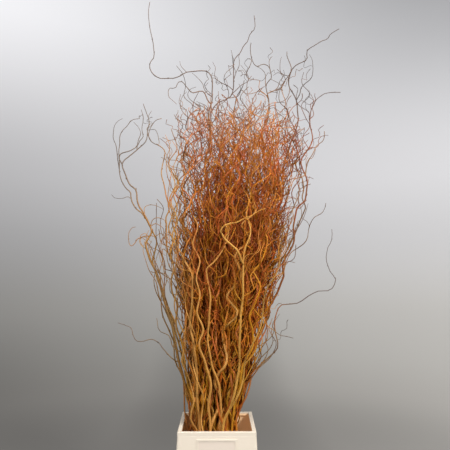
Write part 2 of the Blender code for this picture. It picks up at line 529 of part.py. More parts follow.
def wood(name, points, radii, outline, collection):
    """A tube along the points, closed at both ends, as a mesh object."""
    curve = bpy.data.curves.new(name, "CURVE")
    curve.dimensions = "3D"
    curve.bevel_mode = "OBJECT"
    curve.bevel_object = outline
    curve.use_fill_caps = True
    curve.twist_mode = "MINIMUM"
    spline = curve.splines.new("POLY")
    spline.points.add(len(points) - 1)
    spline.points.foreach_set("co", np.column_stack([points, np.ones(len(points))]).ravel())
    spline.points.foreach_set("radius", radii)
    guide = link(bpy.data.objects.new(name + "_line", curve), collection)
    bpy.context.view_layer.update()
    mesh = bpy.data.meshes.new_from_object(guide.evaluated_get(bpy.context.evaluated_depsgraph_get()))
    turned = bmesh.new()
    turned.from_mesh(mesh)
    bmesh.ops.remove_doubles(turned, verts=turned.verts, dist=1e-5)
    bmesh.ops.triangulate(turned, faces=turned.faces)
    bmesh.ops.recalc_face_normals(turned, faces=turned.faces)
    turned.to_mesh(mesh)
    turned.free()
    made = link(bpy.data.objects.new(name, mesh), collection)
    made.matrix_world = guide.matrix_world
    bpy.data.objects.remove(guide)
    return made


def apply_modifiers(obj):
    """Puts the evaluated mesh in the object's place."""
    bpy.context.view_layer.update()
    result = bpy.data.meshes.new_from_object(obj.evaluated_get(bpy.context.evaluated_depsgraph_get()))
    obj.modifiers.clear()
    obj.data = result


def rounded(box, width):
    """Rounds a box's edges."""
    bevel = box.modifiers.new("Rounded edges", "BEVEL")
    bevel.width = width
    bevel.segments = 2
    return box


def boolean(obj, name, operation, other):
    """Joins another object to this one, or cuts a collection of them from it."""
    modifier = obj.modifiers.new(name, "BOOLEAN")
    modifier.operation = operation
    if isinstance(other, bpy.types.Collection):
        modifier.operand_type = "COLLECTION"
        modifier.collection = other
    else:
        modifier.object = other
    return modifier


def branch_node(name, bark, paths, points, outlines, parts, helpers):
    """One branch: the stem and its shoots, joined by a union."""
    stem, *shoots = paths
    node = wood(name, points[stem[1]], stem[2], outlines[0], parts)
    joined = bpy.data.collections.new(name + "_shoots")
    helpers.children.link(joined)
    for k, (_, numbers, radii) in enumerate(shoots):
        hidden(wood(f"{name}_shoot_{k + 1}", points[numbers], radii, outlines[1], joined))
    if shoots:
        boolean(node, "Grown together", "UNION", joined).solver = "MANIFOLD"
        apply_modifiers(node)
    for shoot in list(joined.objects):
        bpy.data.objects.remove(shoot)
    bpy.data.collections.remove(joined)
    node.data.materials.clear()
    node.data.materials.append(bark)
    node.data.shade_smooth()
    return node


def tapered_box(name, low, high, low_width, high_width, collection):
    """A square box from height low to height high, with its width given at both."""
    bpy.ops.mesh.primitive_cube_add(size=1, location=(0, 0, 0))
    box = bpy.context.object
    box.name = name
    for vertex in box.data.vertices:
        top = vertex.co.z > 0
        width = high_width if top else low_width
        vertex.co = Vector((vertex.co.x * width, vertex.co.y * width, high if top else low))
    for old in list(box.users_collection):
        old.objects.unlink(box)
    return link(box, collection)


def width_at(height):
    """The holder's outer width at a height."""
    return FOOT_WIDTH + (RIM_WIDTH - FOOT_WIDTH) * height / HOLDER_HEIGHT


def make_holder(parts, helpers):
    """The open box: tapered walls and floor, a rim band with an inner lip, and a raised label frame."""
    body_top = HOLDER_HEIGHT - RIM_BAND / 2
    holder = tapered_box("box_holder", 0, body_top, width_at(0), width_at(body_top), parts)
    rounded(holder, EDGE_ROUND)
    band_low = HOLDER_HEIGHT - RIM_BAND
    band_width = RIM_WIDTH + 2 * RIM_PROUD
    band = hidden(tapered_box("rim_band", band_low, HOLDER_HEIGHT, band_width, band_width, helpers))
    rounded(band, RIM_ROUND)
    boolean(holder, "Rim band", "UNION", band)
    frame_middle = HOLDER_HEIGHT - FRAME_BELOW_RIM - FRAME_HEIGHT / 2
    lean = math.atan((FOOT_WIDTH - RIM_WIDTH) / 2 / HOLDER_HEIGHT)
    place = ((-lean, 0, 0), (0, -width_at(frame_middle) / 2, frame_middle))
    frame = hidden(tapered_box("label_frame", -0.5, 0.5, 1, 1, helpers))
    frame.scale = (FRAME_WIDTH, 2 * FRAME_PROUD, FRAME_HEIGHT)
    frame.rotation_euler, frame.location = place
    boolean(holder, "Label frame", "UNION", frame)
    inside = bpy.data.collections.new("holder_cutters")
    helpers.children.link(inside)
    cavity_top = band_low + LIP_OVERHANG
    wide, narrow = (width_at(height) - 2 * WALL for height in (FLOOR_THICKNESS, cavity_top))
    hidden(tapered_box("cavity", FLOOR_THICKNESS, cavity_top, wide, narrow, inside))
    mouth = RIM_WIDTH - 2 * LIP_WIDTH
    hidden(tapered_box("mouth", band_low, 2 * HOLDER_HEIGHT, mouth, mouth, inside))
    panel_cut = hidden(tapered_box("label_panel", -0.5, 0.5, 1, 1, inside))
    panel_cut.scale = (FRAME_WIDTH - 2 * FRAME_BORDER, 1, FRAME_HEIGHT - 2 * FRAME_BORDER)
    panel_cut.rotation_euler, panel_cut.location = place
    panel_cut.location += Vector((0, -math.cos(lean), math.sin(lean))) * (0.5 - PANEL_DEPTH)
    boolean(holder, "Inside and label panel", "DIFFERENCE", inside)
    holder.data.materials.append(material("holder_plastic", (0.80, 0.76, 0.68), 0.4))
    return holder


def main():
    for obj in list(bpy.data.objects):
        bpy.data.objects.remove(obj)
    parts = bpy.data.collections.new("curly_willow_bunch")
    helpers = bpy.data.collections.new("cutters_and_guides")
    for collection in (parts, helpers):
        bpy.context.scene.collection.children.link(collection)
    make_holder(parts, helpers)
    outlines = (section(STEM_SIDES, helpers), section(SHOOT_SIDES, helpers))
    barks = [material(name, colour, 0.6) for name, colour in BARKS.items()]
    bunch, names = grow_bunch()
    for branch, name in enumerate(names):
        paths = [path for path in bunch.paths if path[0] == branch]
        bark = barks[branch % len(barks)]
        branch_node("branch_" + name, bark, paths, bunch.points, outlines, parts, helpers)


if __name__ == "__main__":
    main()
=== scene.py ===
# %% [markdown]
# # A bunch of curly willow in a box holder
#
# Curly willow is sold as bare, twisting branches of about a metre and a half. Each branch keeps one stem
# that snakes upwards, side shoots that wind like loose corkscrews, and fine twigs on those. A florist
# stands three dozen of them in a tall plastic box.
#
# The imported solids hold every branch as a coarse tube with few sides. This script dresses them: it grows
# the same branches again by the same rules, smooth and round, and adds the shoots, twigs and buds that
# are too fine for a solid.

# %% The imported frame
import math
from collections import namedtuple

import bpy
import numpy as np
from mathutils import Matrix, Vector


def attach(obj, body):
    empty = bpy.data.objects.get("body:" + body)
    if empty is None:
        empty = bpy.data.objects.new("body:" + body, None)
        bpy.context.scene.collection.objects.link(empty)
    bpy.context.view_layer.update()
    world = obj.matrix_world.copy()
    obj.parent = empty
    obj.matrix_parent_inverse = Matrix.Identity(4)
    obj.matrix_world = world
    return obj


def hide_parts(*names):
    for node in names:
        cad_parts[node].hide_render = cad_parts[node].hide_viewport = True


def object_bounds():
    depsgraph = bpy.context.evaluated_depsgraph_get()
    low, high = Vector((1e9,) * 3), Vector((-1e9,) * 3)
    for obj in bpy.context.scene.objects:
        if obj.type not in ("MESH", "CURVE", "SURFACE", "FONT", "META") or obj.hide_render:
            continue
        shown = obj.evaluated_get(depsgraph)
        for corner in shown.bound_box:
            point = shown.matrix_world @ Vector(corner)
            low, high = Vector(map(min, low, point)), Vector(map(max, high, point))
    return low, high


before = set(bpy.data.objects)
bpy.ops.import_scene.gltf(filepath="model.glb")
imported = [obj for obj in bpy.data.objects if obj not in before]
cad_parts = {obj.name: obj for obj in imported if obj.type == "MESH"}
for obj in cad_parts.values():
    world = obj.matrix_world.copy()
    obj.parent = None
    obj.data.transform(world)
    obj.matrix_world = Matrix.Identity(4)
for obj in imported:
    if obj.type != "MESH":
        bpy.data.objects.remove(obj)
cad_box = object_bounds()
print("the solids reach from", *(np.round(corner, 3) for corner in cad_box))

# %% [markdown]
# ## Camera, backdrop and light
#
# The bunch is seen from the front at table height, with the camera tipped up a little, so the box is cut
# off below and the longest tips nearly touch the top of the frame. A studio would hang a roll of grey
# paper behind it. Here the roll is closed round on itself: a floor that curves up into a round wall. Its
# shape is the same from every side, so the bunch can be walked round without a wall getting in the way.
# The paper's colour holds painted light and shade, and the paper glows with it: lighter towards the top,
# a painted light patch across it, and painted shade round the bunch with a painted shadow behind it.

# %% Camera
CAMERA_PLACE = (0.006, -1.81, 0.871)
CAMERA_TILT = math.radians(95.5)
CAMERA_TURN = math.radians(-0.66)
LENS = 41.6

scene = bpy.context.scene
camera = bpy.data.objects.new("camera", bpy.data.cameras.new("camera"))
camera.data.lens = LENS
camera.location = CAMERA_PLACE
camera.rotation_euler = (CAMERA_TILT, 0.0, CAMERA_TURN)
scene.collection.objects.link(camera)
scene.camera = camera
scene.view_settings.view_transform = "Standard"
print("the camera stands", -CAMERA_PLACE[1], "m in front of the bunch,", CAMERA_PLACE[2], "m up")

# %% [markdown]
# A surface is worked out here as a grid of points: rows along it, columns across it. One helper numbers the
# faces of such a grid, and can close it into a ring across. Another makes an object of points and faces.
# The backdrop and every branch go through both.

# %% From a grid of points to a mesh
def grid_faces(rows, columns, ring=False):
    """Four-sided faces between neighbouring rows and columns. A ring joins its last column to its first."""
    row = np.arange(rows - 1)[:, None] * columns
    column = np.arange(columns if ring else columns - 1)[None, :]
    following = (column + 1) % columns
    above = row + columns
    return np.stack([row + column, row + following, above + following, above + column], -1)


def mesh_object(name, points, faces):
    """A smooth object at the origin with these points, and with faces given as lists of point numbers."""
    mesh = bpy.data.meshes.new(name)
    mesh.from_pydata(points.reshape(-1, 3).tolist(), [], faces)
    mesh.shade_smooth()
    mesh.validate()
    obj = bpy.data.objects.new(name, mesh)
    scene.collection.objects.link(obj)
    return obj


# %% [markdown]
# ## Shader maths as expressions
#
# A material is a net of nodes. Wired one by one, a formula such as `1 - mask * 0.4` takes a dozen lines
# that nobody can read. This small class wraps one socket, so that Python's own operators add the Math
# nodes. Colours go through Mix nodes, because a Math node would turn them grey.

# %% The class that wraps a socket
OBJECT_PLACE = 3


class Value:
    """A socket of a material's nodes, which takes part in sums as a number would."""

    def __init__(self, maker, socket):
        self.maker = maker
        self.socket = socket

    def _math(self, operation, *others, clamp=False):
        """A Math node with this value in its first socket."""
        settings = {"operation": operation, "use_clamp": clamp}
        return self.maker.node("ShaderNodeMath", settings, self, *others)

    def __add__(self, other):
        return self._math("ADD", other)

    def __radd__(self, other):
        return self._math("ADD", other)

    def __sub__(self, other):
        return self._math("SUBTRACT", other)

    def __rsub__(self, other):
        return self.maker.node("ShaderNodeMath", {"operation": "SUBTRACT"}, other, self)

    def __mul__(self, other):
        return self._math("MULTIPLY", other)

    def __rmul__(self, other):
        return self._math("MULTIPLY", other)

    def __truediv__(self, other):
        return self._math("DIVIDE", other)

    def __neg__(self):
        return self._math("MULTIPLY", -1.0)

    def larger(self, other):
        """The larger of this value and another."""
        return self._math("MAXIMUM", other)

    def clamped(self):
        """The value, held between 0 and 1."""
        return self._math("ADD", 0.0, clamp=True)

    def between(self, low, high):
        """0 below `low`, 1 above `high`, and a smooth step between the two."""
        settings = {"interpolation_type": "SMOOTHSTEP"}
        return self.maker.node("ShaderNodeMapRange", settings, self, low, high, 0.0, 1.0)

# %% The class that makes a material
class Finish:
    """A material in the making. `node` adds any node, and `finish` wires the shader."""

    def __init__(self, name):
        self.material = bpy.data.materials.new(name)
        self.material.use_nodes = True
        self.tree = self.material.node_tree
        self.tree.nodes.clear()

    @classmethod
    def of_world(cls, world):
        """The same helper on the nodes of the world that lights the scene."""
        made = cls.__new__(cls)
        made.tree = world.node_tree
        return made

    def node(self, kind, settings=None, *values, out=0, **named):
        """Adds a node: first its settings, then its sockets in order or by name. Gives one output."""
        made = self.tree.nodes.new(kind)
        for key, value in (settings or {}).items():
            if key == "stops":
                self._stops(made.color_ramp, value)
            else:
                setattr(made, key, value)
        for key, value in list(enumerate(values)) + list(named.items()):
            socket = made.inputs[key.replace("_", " ") if isinstance(key, str) else key]
            if isinstance(value, Value):
                self.tree.links.new(value.socket, socket)
            elif socket.type == "RGBA":
                socket.default_value = (*value, 1.0)
            else:
                socket.default_value = value
        return Value(self, made.outputs[out])

    def _stops(self, ramp, stops):
        """Fills a colour ramp with (place, colour) stops."""
        while len(ramp.elements) < len(stops):
            ramp.elements.new(0.5)
        for element, (place, colour) in zip(ramp.elements, stops):
            element.position = place
            element.color = (*colour, 1.0)

    def attribute(self, name, vector=False):
        """A value stored on the mesh's points, as a number or as a vector."""
        return self.node("ShaderNodeAttribute", {"attribute_name": name}, out=1 if vector else 2)

    def ramp(self, value, stops):
        """A colour that follows `value` through (place, colour) stops."""
        return self.node("ShaderNodeValToRGB", {"stops": stops}, value)

    def noise(self, place, scale, detail=3.0, roughness=0.55):
        """Soft, cloudy noise between 0 and 1 at that place."""
        return self.node(
            "ShaderNodeTexNoise", {}, Vector=place, Scale=scale, Detail=detail, Roughness=roughness
        )

    def stretched(self, place, factors):
        """The place, scaled by a factor along each axis, which stretches a pattern the other way."""
        return self.node("ShaderNodeVectorMath", {"operation": "MULTIPLY"}, place, factors)

    def blend(self, share, first, second, way="MIX"):
        """A colour between two, or their product and the like, as `way` says."""
        mix = self.tree.nodes.new("ShaderNodeMix")
        mix.data_type = "RGBA"
        mix.blend_type = way
        for key, value in (("Factor_Float", share), ("A_Color", first), ("B_Color", second)):
            socket = next(s for s in mix.inputs if s.identifier == key)
            if isinstance(value, Value):
                self.tree.links.new(value.socket, socket)
            else:
                socket.default_value = value if key == "Factor_Float" else (*value, 1.0)
        return Value(self, next(s for s in mix.outputs if s.identifier == "Result_Color"))

    def bump(self, height, distance, strength=1.0):
        """Surface relief: `distance` in metres for a height of 1."""
        return self.node("ShaderNodeBump", {}, Strength=strength, Distance=distance, Height=height)

    def finish(self, **sockets):
        """Wires a Principled shader with these sockets to the output, and gives the material."""
        shader = self.node("ShaderNodeBsdfPrincipled", {}, **sockets)
        output = self.tree.nodes.new("ShaderNodeOutputMaterial")
        self.tree.links.new(shader.socket, output.inputs["Surface"])
        return self.material


# %% The backdrop and its paper, with painted light and shade
def backdrop(radius=3.6, height=4.6, cove=1.3, around=96):
    """A profile turned about the vertical: a floor, a quarter circle of radius `cove`, and a wall."""
    turn = np.linspace(0, math.pi / 2, 17)
    reach = np.concatenate([[1e-3, 0.8, 1.6], radius - cove + cove * np.sin(turn), [radius]])
    rise = np.concatenate([[0, 0, 0], cove * (1 - np.cos(turn)), [height]])
    angle = np.linspace(0, 2 * math.pi, around, endpoint=False)
    points = np.stack([
        reach[:, None] * np.cos(angle),
        reach[:, None] * np.sin(angle),
        rise[:, None] + 0 * angle,
    ], -1)
    faces = grid_faces(len(reach), around, ring=True).reshape(-1, 4)[:, ::-1].tolist()
    return mesh_object("backdrop", points, faces + [list(range(around))])


BLACK = (0.0, 0.0, 0.0)

paper = Finish("grey paper")
place = paper.node("ShaderNodeTexCoord", {}, out=OBJECT_PLACE)
across, deep, high = (paper.node("ShaderNodeSeparateXYZ", {}, place, out=axis) for axis in range(3))
# painted light: the paper is painted darker low down and lighter towards the top, as light from above falls
# on it
grey = paper.ramp(high / 4.0, (
    (0.0, (0.292, 0.284, 0.272)), (0.04, (0.33, 0.325, 0.313)), (0.15, (0.415, 0.41, 0.40)),
    (0.30, (0.54, 0.541, 0.556)), (0.45, (0.665, 0.668, 0.695)), (0.85, (0.838, 0.848, 0.888)),
))
# painted shade: the paper darkens towards the bunch, and a painted shadow lies on it behind the bunch, low
# down
painted_shade_nearby = 1 - (across * across + deep * deep).between(1.2, 6.0)
grey = paper.blend(painted_shade_nearby * 0.35, grey, BLACK)
behind = (1 - (across * across).between(0.0, 0.40)) * (1 - high.between(0.0, 0.7)) * deep.between(0.2, 1.0)
grey = paper.blend(behind * 0.28, grey, BLACK)
fibres = paper.noise(place, 900.0)
grey = paper.blend(fibres * 0.06, grey, (0.30, 0.30, 0.30))
# painted light: a diagonal light patch across the paper, lighter on the right low down and on the left high
# up
lean = 0.27
for low, top, less in ((0.0, 0.6, 0.08), (0.5, 1.8, 0.08), (1.6, 4.0, 0.33)):
    lean = lean - high.between(low, top) * less
painted_light_slant = (1 + across * lean).between(0.2, 1.8)
sideways = paper.ramp(painted_light_slant, ((0.0, (0.3, 0.3, 0.3)), (1.0, (1.0, 1.0, 1.0))))
grey = paper.blend(1.0, grey, sideways, "MULTIPLY")
wall = backdrop()
# The paper glows with its own colour, painted light and shade included.
wall.data.materials.append(
    paper.finish(Base_Color=grey, Roughness=0.9, Emission_Color=grey, Emission_Strength=0.75)
)
wall.visible_shadow = False
wall.visible_diffuse = False
wall.visible_glossy = False
print("backdrop:", len(wall.data.polygons), "faces")

# %% [markdown]
# The light is soft and comes from three sides. The key lamp stands high in front on the right, so stems
# are bright on that side and shade the wood behind them. A weaker lamp fills from the left, and a broad
# one under the ceiling lights the crown. The room itself adds a little from above, and that is all that
# reaches the middle of the bunch: most of its depth comes from branches shading each other.

# %% Light
def lamp(name, place, aim, size, watts, colour):
    """A square lamp at `place`, turned to face `aim`."""
    data = bpy.data.lights.new(name, "AREA")
    data.size = size
    data.energy = watts
    data.color = colour
    obj = bpy.data.objects.new(name, data)
    obj.location = place
    way = np.subtract(aim, place)
    obj.rotation_euler = (math.acos(-way[2] / np.linalg.norm(way)), 0.0, math.atan2(-way[0], way[1]))
    scene.collection.objects.link(obj)
    return obj


lamps = [
    lamp("key light", (2.0, -2.1, 2.4), (0.0, 0.0, 0.9), 0.8, 120.0, (1.0, 0.97, 0.93)),
    lamp("fill light", (-1.5, -2.3, 1.7), (0.0, 0.0, 0.9), 1.2, 42.0, (0.98, 0.98, 1.0)),
    lamp("ceiling light", (0.2, -0.5, 3.4), (0.0, 0.0, 0.5), 1.6, 45.0, (1.0, 0.98, 0.95)),
]
world = bpy.data.worlds.new("room")
world.use_nodes = True
room = Finish.of_world(world)
above = room.node("ShaderNodeSeparateXYZ", {}, room.node("ShaderNodeTexCoord", {}, out=0), out=2)
room.tree.links.new(
    room.ramp(above * 0.5 + 0.5, ((0.30, (0.06, 0.05, 0.04)), (0.75, (0.98, 0.94, 0.88)))).socket,
    world.node_tree.nodes["Background"].inputs["Color"],
)
world.node_tree.nodes["Background"].inputs["Strength"].default_value = 0.35
scene.world = world
print(len(lamps), "lamps of", sum(lamp.data.energy for lamp in lamps), "W together")

# %% [markdown]
# ## The bunch's outline
#
# A bunch in a box has the shape of a vase: pulled together where the rim holds it, and spreading above as
# each branch leans outwards. It is an ellipse at every height, a little flatter from front to back. Giving
# the radius at ten heights is enough, because numpy draws straight lines between them. The bunch also
# leans: its middle wanders to the right by a few centimetres on the way up.

# %% The box and the outline
HOLDER_HEIGHT = 0.380
FOOT_WIDTH = 0.290
RIM_WIDTH = 0.248
WALL = 0.0035
FLOOR_THICKNESS = 0.004
LIP_WIDTH = 0.012
FRAME_WIDTH = 0.127
FRAME_HEIGHT = 0.115
FRAME_BORDER = 0.006
FRAME_BELOW_RIM = 0.021

BUNCH_HEIGHTS = (0.0, 0.38, 0.50, 0.66, 0.83, 0.96, 1.10, 1.25, 1.40, 1.60)
BUNCH_RADII = (0.054, 0.076, 0.090, 0.122, 0.152, 0.176, 0.202, 0.226, 0.240, 0.215)
BUNCH_ACROSS = (0.0, -0.013, -0.008, 0.000, 0.004, 0.008, 0.018, 0.038, 0.055, 0.058)
DEPTH_SHARE = 0.80
ROOT_SHARE = 0.70

print("the bunch is", 2 * BUNCH_RADII[1], "m wide at the rim and", 2 * max(BUNCH_RADII), "m at its widest")

# %% [markdown]
# ## How a willow stem moves
#
# A curly willow stem never grows straight for long. It snakes in two directions at once, and the two don't
# keep step, so it winds in space instead of waving in a plane. The waves are long and shallow near the
# foot and get shorter towards the tip. Every stem also forks low down into a second leader, and bears a few
# side shoots that wind like loose corkscrews.
#
# A winding is given by five numbers: the angle at which the shoot leaves, the radius and the pitch of its
# coil, how strongly it climbs, and how far apart its points stand.

# %% The numbers of a stem and of a shoot
FREE_STEMS = 24
LOWEST_TOP = 1.26
HIGHEST_TOP = 1.60
TURN_ABOUT_BUNCH = 0.9
WAVE_HEIGHTS = (0.0, 0.38, 0.70, 1.10, 1.60)
WAVE_SIZES = (0.0, 0.010, 0.016, 0.018, 0.019)
WAVE_LENGTHS = (0.32, 0.26, 0.21, 0.17, 0.15)
RIPPLE_SHARE = 0.28

STEM_RADII = (0.0026, 0.0046)
TIP_RADIUS = 0.0011
TAPER = 1.0
SHOOT_SHARE = 0.60
LEADER_SHARE = 0.75
THICKEST_SHOOT = 0.0032
SHOOT_TIP_RADIUS = 0.0009

Winding = namedtuple("Winding", "leave_angle coil_radii pitches climb spacing")
SHOOT_WINDING = Winding(math.radians(38), (0.010, 0.019), (0.10, 0.15), 0.75, 0.038)
LEADER_WINDING = Winding(math.radians(10), (0.007, 0.015), (0.16, 0.26), 0.5, 0.064)
LEADER_HEIGHTS = (0.14, 0.50)
LEADER_LENGTHS = (0.60, 0.90)
SHOOTS_PER_STEM = 2
SHOOT_LENGTHS = (0.20, 0.36)
LOWEST_SHOOT = 0.70
HIGHEST_SHOOT = 1.52
WIDEST_SHOOT = 1.20

SPACING_HEIGHTS = (0.38, 0.60)
SPACINGS = (0.110, 0.049)
LIMB_SPACING = 0.038

CLEARANCE = 0.0010
SMALLEST_CLEARANCE = 0.0004
EASING_ROUNDS = 180
BEND_SPREAD = 0.12
PAIRS_EVERY = 5
FOOT_GAP = 0.0004
SEED = 7

print(FREE_STEMS, "free stems, at most", 2000 * (STEM_RADII[1] + TIP_RADIUS), "mm across at the foot")

# %% [markdown]
# ## Stems drawn one by one
#
# Chance alone makes an even bush. What gives this bunch its face are a few stems with a line of their own:
# the tall one that swings out to the left and climbs again, the crown, the two that loop out on the left,
# and the arch on the right. They are drawn as a florist would sketch them, as points seen from the front,
# each with its depth at the root and at the tip, and a bow between the two. Free stems fill in the rest.
#
# The points are whole numbers, as on squared paper with 400 squares to a metre, so a square is 2.5 mm wide.

# %% Drawn stems: depths at the rim and the tip, bow, then (across, height) from the rim up
SQUARES_PER_METRE = 400

ROUTES = {
    "front_fork": ((-0.07, -0.05, -0.11), (
        (7, 152), (18, 182), (26, 216), (28, 252), (29, 287), (33, 317), (33, 336), (33, 355), (33, 370),
        (36, 385), (41, 398), (41, 411), (37, 424), (41, 441), (44, 455), (37, 483), (49, 520), (43, 552),
        (51, 580))),
    "left_bright": ((-0.05, -0.02, -0.09), (
        (-21, 152), (-25, 186), (-26, 220), (-29, 258), (-34, 288), (-32, 316), (-32, 337), (-35, 352),
        (-42, 365), (-48, 378), (-55, 390), (-59, 402), (-53, 421), (-62, 446), (-53, 471), (-66, 500),
        (-57, 524), (-65, 554))),
    "left_loop": ((-0.02, -0.02, -0.05), (
        (-24, 152), (-39, 198), (-50, 235), (-59, 276), (-70, 311), (-76, 332), (-83, 354), (-91, 369),
        (-95, 382), (-96, 390), (-91, 399), (-88, 407), (-92, 418), (-97, 428), (-102, 436), (-106, 442),
        (-108, 451), (-108, 457), (-110, 464), (-117, 469), (-121, 474), (-125, 484), (-129, 492),
        (-131, 498), (-128, 504), (-121, 510), (-113, 518), (-108, 524), (-103, 529), (-99, 536),
        (-98, 550), (-96, 562), (-100, 575), (-105, 589))),
    "left_twin": ((0.0, 0.03, -0.02), (
        (-22, 152), (-30, 180), (-42, 220), (-53, 260), (-65, 298), (-75, 328), (-82, 348), (-89, 366),
        (-86, 383), (-84, 395), (-89, 407), (-95, 418), (-99, 426), (-106, 435), (-113, 440), (-119, 449),
        (-121, 457), (-122, 464), (-128, 469), (-134, 479), (-137, 487), (-139, 496), (-139, 506),
        (-140, 517), (-141, 526), (-140, 536), (-140, 546), (-136, 555), (-131, 560), (-126, 568),
        (-121, 572), (-112, 574))),
    "tall_left": ((0.03, 0.05, 0.03), (
        (-14, 152), (-18, 176), (-15, 216), (-21, 258), (-16, 301), (-22, 341), (-13, 384), (-19, 427),
        (-12, 471), (-18, 513), (-10, 549), (-14, 580), (-8, 605), (-8, 617), (-7, 628), (-7, 638),
        (-10, 646), (-16, 652), (-25, 653), (-37, 651), (-47, 649), (-56, 644), (-67, 641), (-74, 641),
        (-83, 640), (-91, 643), (-97, 648), (-101, 654), (-101, 663), (-96, 669), (-94, 675), (-95, 687),
        (-97, 699), (-100, 713), (-102, 725), (-103, 740), (-101, 755))),
    "crown_middle": ((0.02, 0.0, 0.05), (
        (-4, 152), (3, 184), (-2, 228), (5, 272), (0, 315), (10, 356), (2, 398), (11, 442), (-1, 486),
        (4, 527), (-10, 560), (-11, 580), (-7, 592), (2, 602), (12, 607), (20, 614), (23, 624), (23, 636),
        (23, 645), (24, 654), (24, 661), (28, 668), (34, 675), (36, 681), (39, 687), (45, 693), (45, 697),
        (49, 702), (54, 706), (55, 711), (54, 725))),
    "crown_right": ((0.0, -0.04, 0.04), (
        (9, 152), (18, 182), (16, 226), (27, 266), (32, 306), (26, 342), (36, 384), (46, 425), (54, 471),
        (70, 513), (64, 554), (74, 579), (75, 597), (73, 608), (71, 620), (74, 627), (78, 632), (76, 641),
        (73, 648), (65, 650), (58, 646), (52, 649), (49, 654), (47, 662), (47, 671), (48, 676))),
    "right_top": ((0.04, 0.06, 0.05), (
        (18, 152), (30, 178), (40, 219), (48, 260), (64, 302), (67, 341), (79, 383), (86, 427), (96, 469),
        (99, 511), (111, 549), (121, 577), (121, 593), (120, 605), (116, 618), (109, 631), (108, 643),
        (110, 651), (113, 659), (119, 666), (127, 671), (134, 674), (137, 679), (136, 685), (138, 690),
        (146, 694), (153, 698), (160, 702), (166, 704), (168, 708), (171, 711), (177, 714), (183, 717))),
    "right_arch": ((0.01, 0.0, -0.05), (
        (23, 152), (31, 171), (41, 205), (48, 244), (63, 279), (70, 301), (82, 324), (87, 338), (91, 348),
        (90, 361), (93, 372), (100, 384), (105, 395), (106, 403), (105, 413), (106, 423), (108, 437),
        (113, 444), (120, 451), (123, 465), (124, 476), (121, 486), (117, 496), (116, 506), (119, 512),
        (125, 520), (131, 531), (133, 541), (132, 551), (130, 564), (131, 579), (135, 587), (140, 596),
        (148, 603), (156, 608), (166, 610), (176, 610))),
    "right_side": ((0.05, 0.03, 0.04), (
        (14, 152), (25, 175), (34, 213), (46, 250), (58, 289), (74, 326), (88, 359), (103, 388), (116, 415),
        (121, 427), (126, 438), (129, 448), (124, 461), (127, 476), (124, 491), (117, 502), (114, 513),
        (118, 524), (115, 536), (109, 546), (103, 555), (100, 567), (103, 581), (97, 593))),
    "middle_bright": ((-0.06, -0.04, -0.09), (
        (3, 152), (0, 202), (-8, 231), (-14, 265), (-12, 291), (-10, 317), (-13, 338), (-15, 354),
        (-12, 359), (-5, 365), (4, 378), (11, 391), (15, 403), (10, 419), (14, 443), (6, 470), (14, 497),
        (6, 524), (16, 552))),
    "right_bright": ((-0.04, 0.0, -0.08), (
        (18, 152), (28, 200), (34, 232), (46, 254), (47, 277), (42, 294), (51, 315), (56, 332), (50, 347),
        (47, 354), (55, 362), (62, 375), (67, 396), (61, 415), (71, 441), (80, 464), (71, 490), (86, 515),
        (81, 545), (94, 573))),
    "left_golden": ((-0.03, -0.04, -0.06), (
        (-20, 152), (-31, 183), (-39, 215), (-43, 243), (-47, 263), (-54, 284), (-52, 308), (-60, 325),
        (-61, 341), (-58, 358), (-66, 377), (-69, 395), (-68, 414), (-69, 424), (-65, 433), (-65, 442),
        (-68, 452), (-70, 461), (-73, 472), (-75, 482), (-74, 494), (-72, 506), (-71, 516), (-78, 523),
        (-86, 527), (-92, 532), (-95, 540), (-92, 551), (-85, 561), (-77, 565))),
    "middle_low": ((-0.075, -0.05, -0.07), (
        (-8, 152), (-10, 181), (-8, 212), (-15, 238), (-23, 260), (-18, 281), (-26, 302), (-22, 324),
        (-28, 345), (-23, 368), (-33, 389), (-27, 413), (-38, 437), (-29, 461), (-39, 489), (-31, 517))),
}

# %% [markdown]
# The longest side shoots are drawn as well. They decide the outline too: two that reach out low on both
# sides, the hook on the left, and the bright fork in the middle of the front.

# %% Drawn side shoots: their stem, their share of its radius, depths, then (across, height)
LIMBS = (
    ("front_fork", 1.35, (-0.18, -0.19), (
        (33, 370), (26, 378), (17, 387), (10, 393), (6, 400), (4, 404), (7, 409), (11, 411), (17, 413),
        (24, 414), (30, 417), (36, 420), (43, 422), (49, 426), (55, 430), (60, 432))),
    ("right_arch", 0.5, (-0.03, -0.02), (
        (37, 201), (42, 213), (51, 223), (63, 233), (73, 242), (79, 249), (81, 256), (80, 265), (78, 277),
        (78, 289), (80, 296), (83, 304), (87, 308), (94, 309), (102, 310), (111, 311), (118, 315),
        (124, 319), (131, 323), (140, 327), (150, 327), (157, 330), (161, 336), (163, 342), (160, 348),
        (155, 354), (152, 362), (150, 369), (151, 377), (153, 386), (157, 393), (159, 401), (159, 412))),
    ("right_bright", 0.5, (-0.11, -0.1), (
        (50, 312), (57, 294), (62, 288), (66, 282), (72, 278), (78, 273), (83, 270), (91, 269), (98, 267))),
    ("left_loop", 0.45, (-0.04, -0.03), (
        (-49, 228), (-59, 238), (-71, 250), (-76, 257), (-82, 261), (-87, 263), (-93, 262), (-99, 260),
        (-106, 260), (-110, 264), (-113, 270), (-114, 275), (-117, 279), (-125, 281), (-134, 284))),
    ("left_loop", 0.6, (-0.06, -0.06), (
        (-91, 404), (-96, 401), (-103, 399), (-109, 396), (-112, 391), (-116, 387), (-119, 390),
        (-120, 398), (-119, 406), (-115, 412), (-110, 413))),
)

print(len(ROUTES), "drawn stems and", len(LIMBS), "drawn side shoots")

# %% [markdown]
# ## A smooth curve through drawn points
#
# A Catmull-Rom curve passes through all of its points and arrives at each in the direction from the last
# one to the next, so a handful of points makes a flowing line. The points along it are then spread to a
# spacing that follows the height: wide apart inside the box, closer above it, where the wood winds.

# %% Curves
def unit(vectors):
    """The vectors at length 1."""
    return vectors / np.maximum(np.linalg.norm(vectors, axis=-1, keepdims=True), 1e-12)


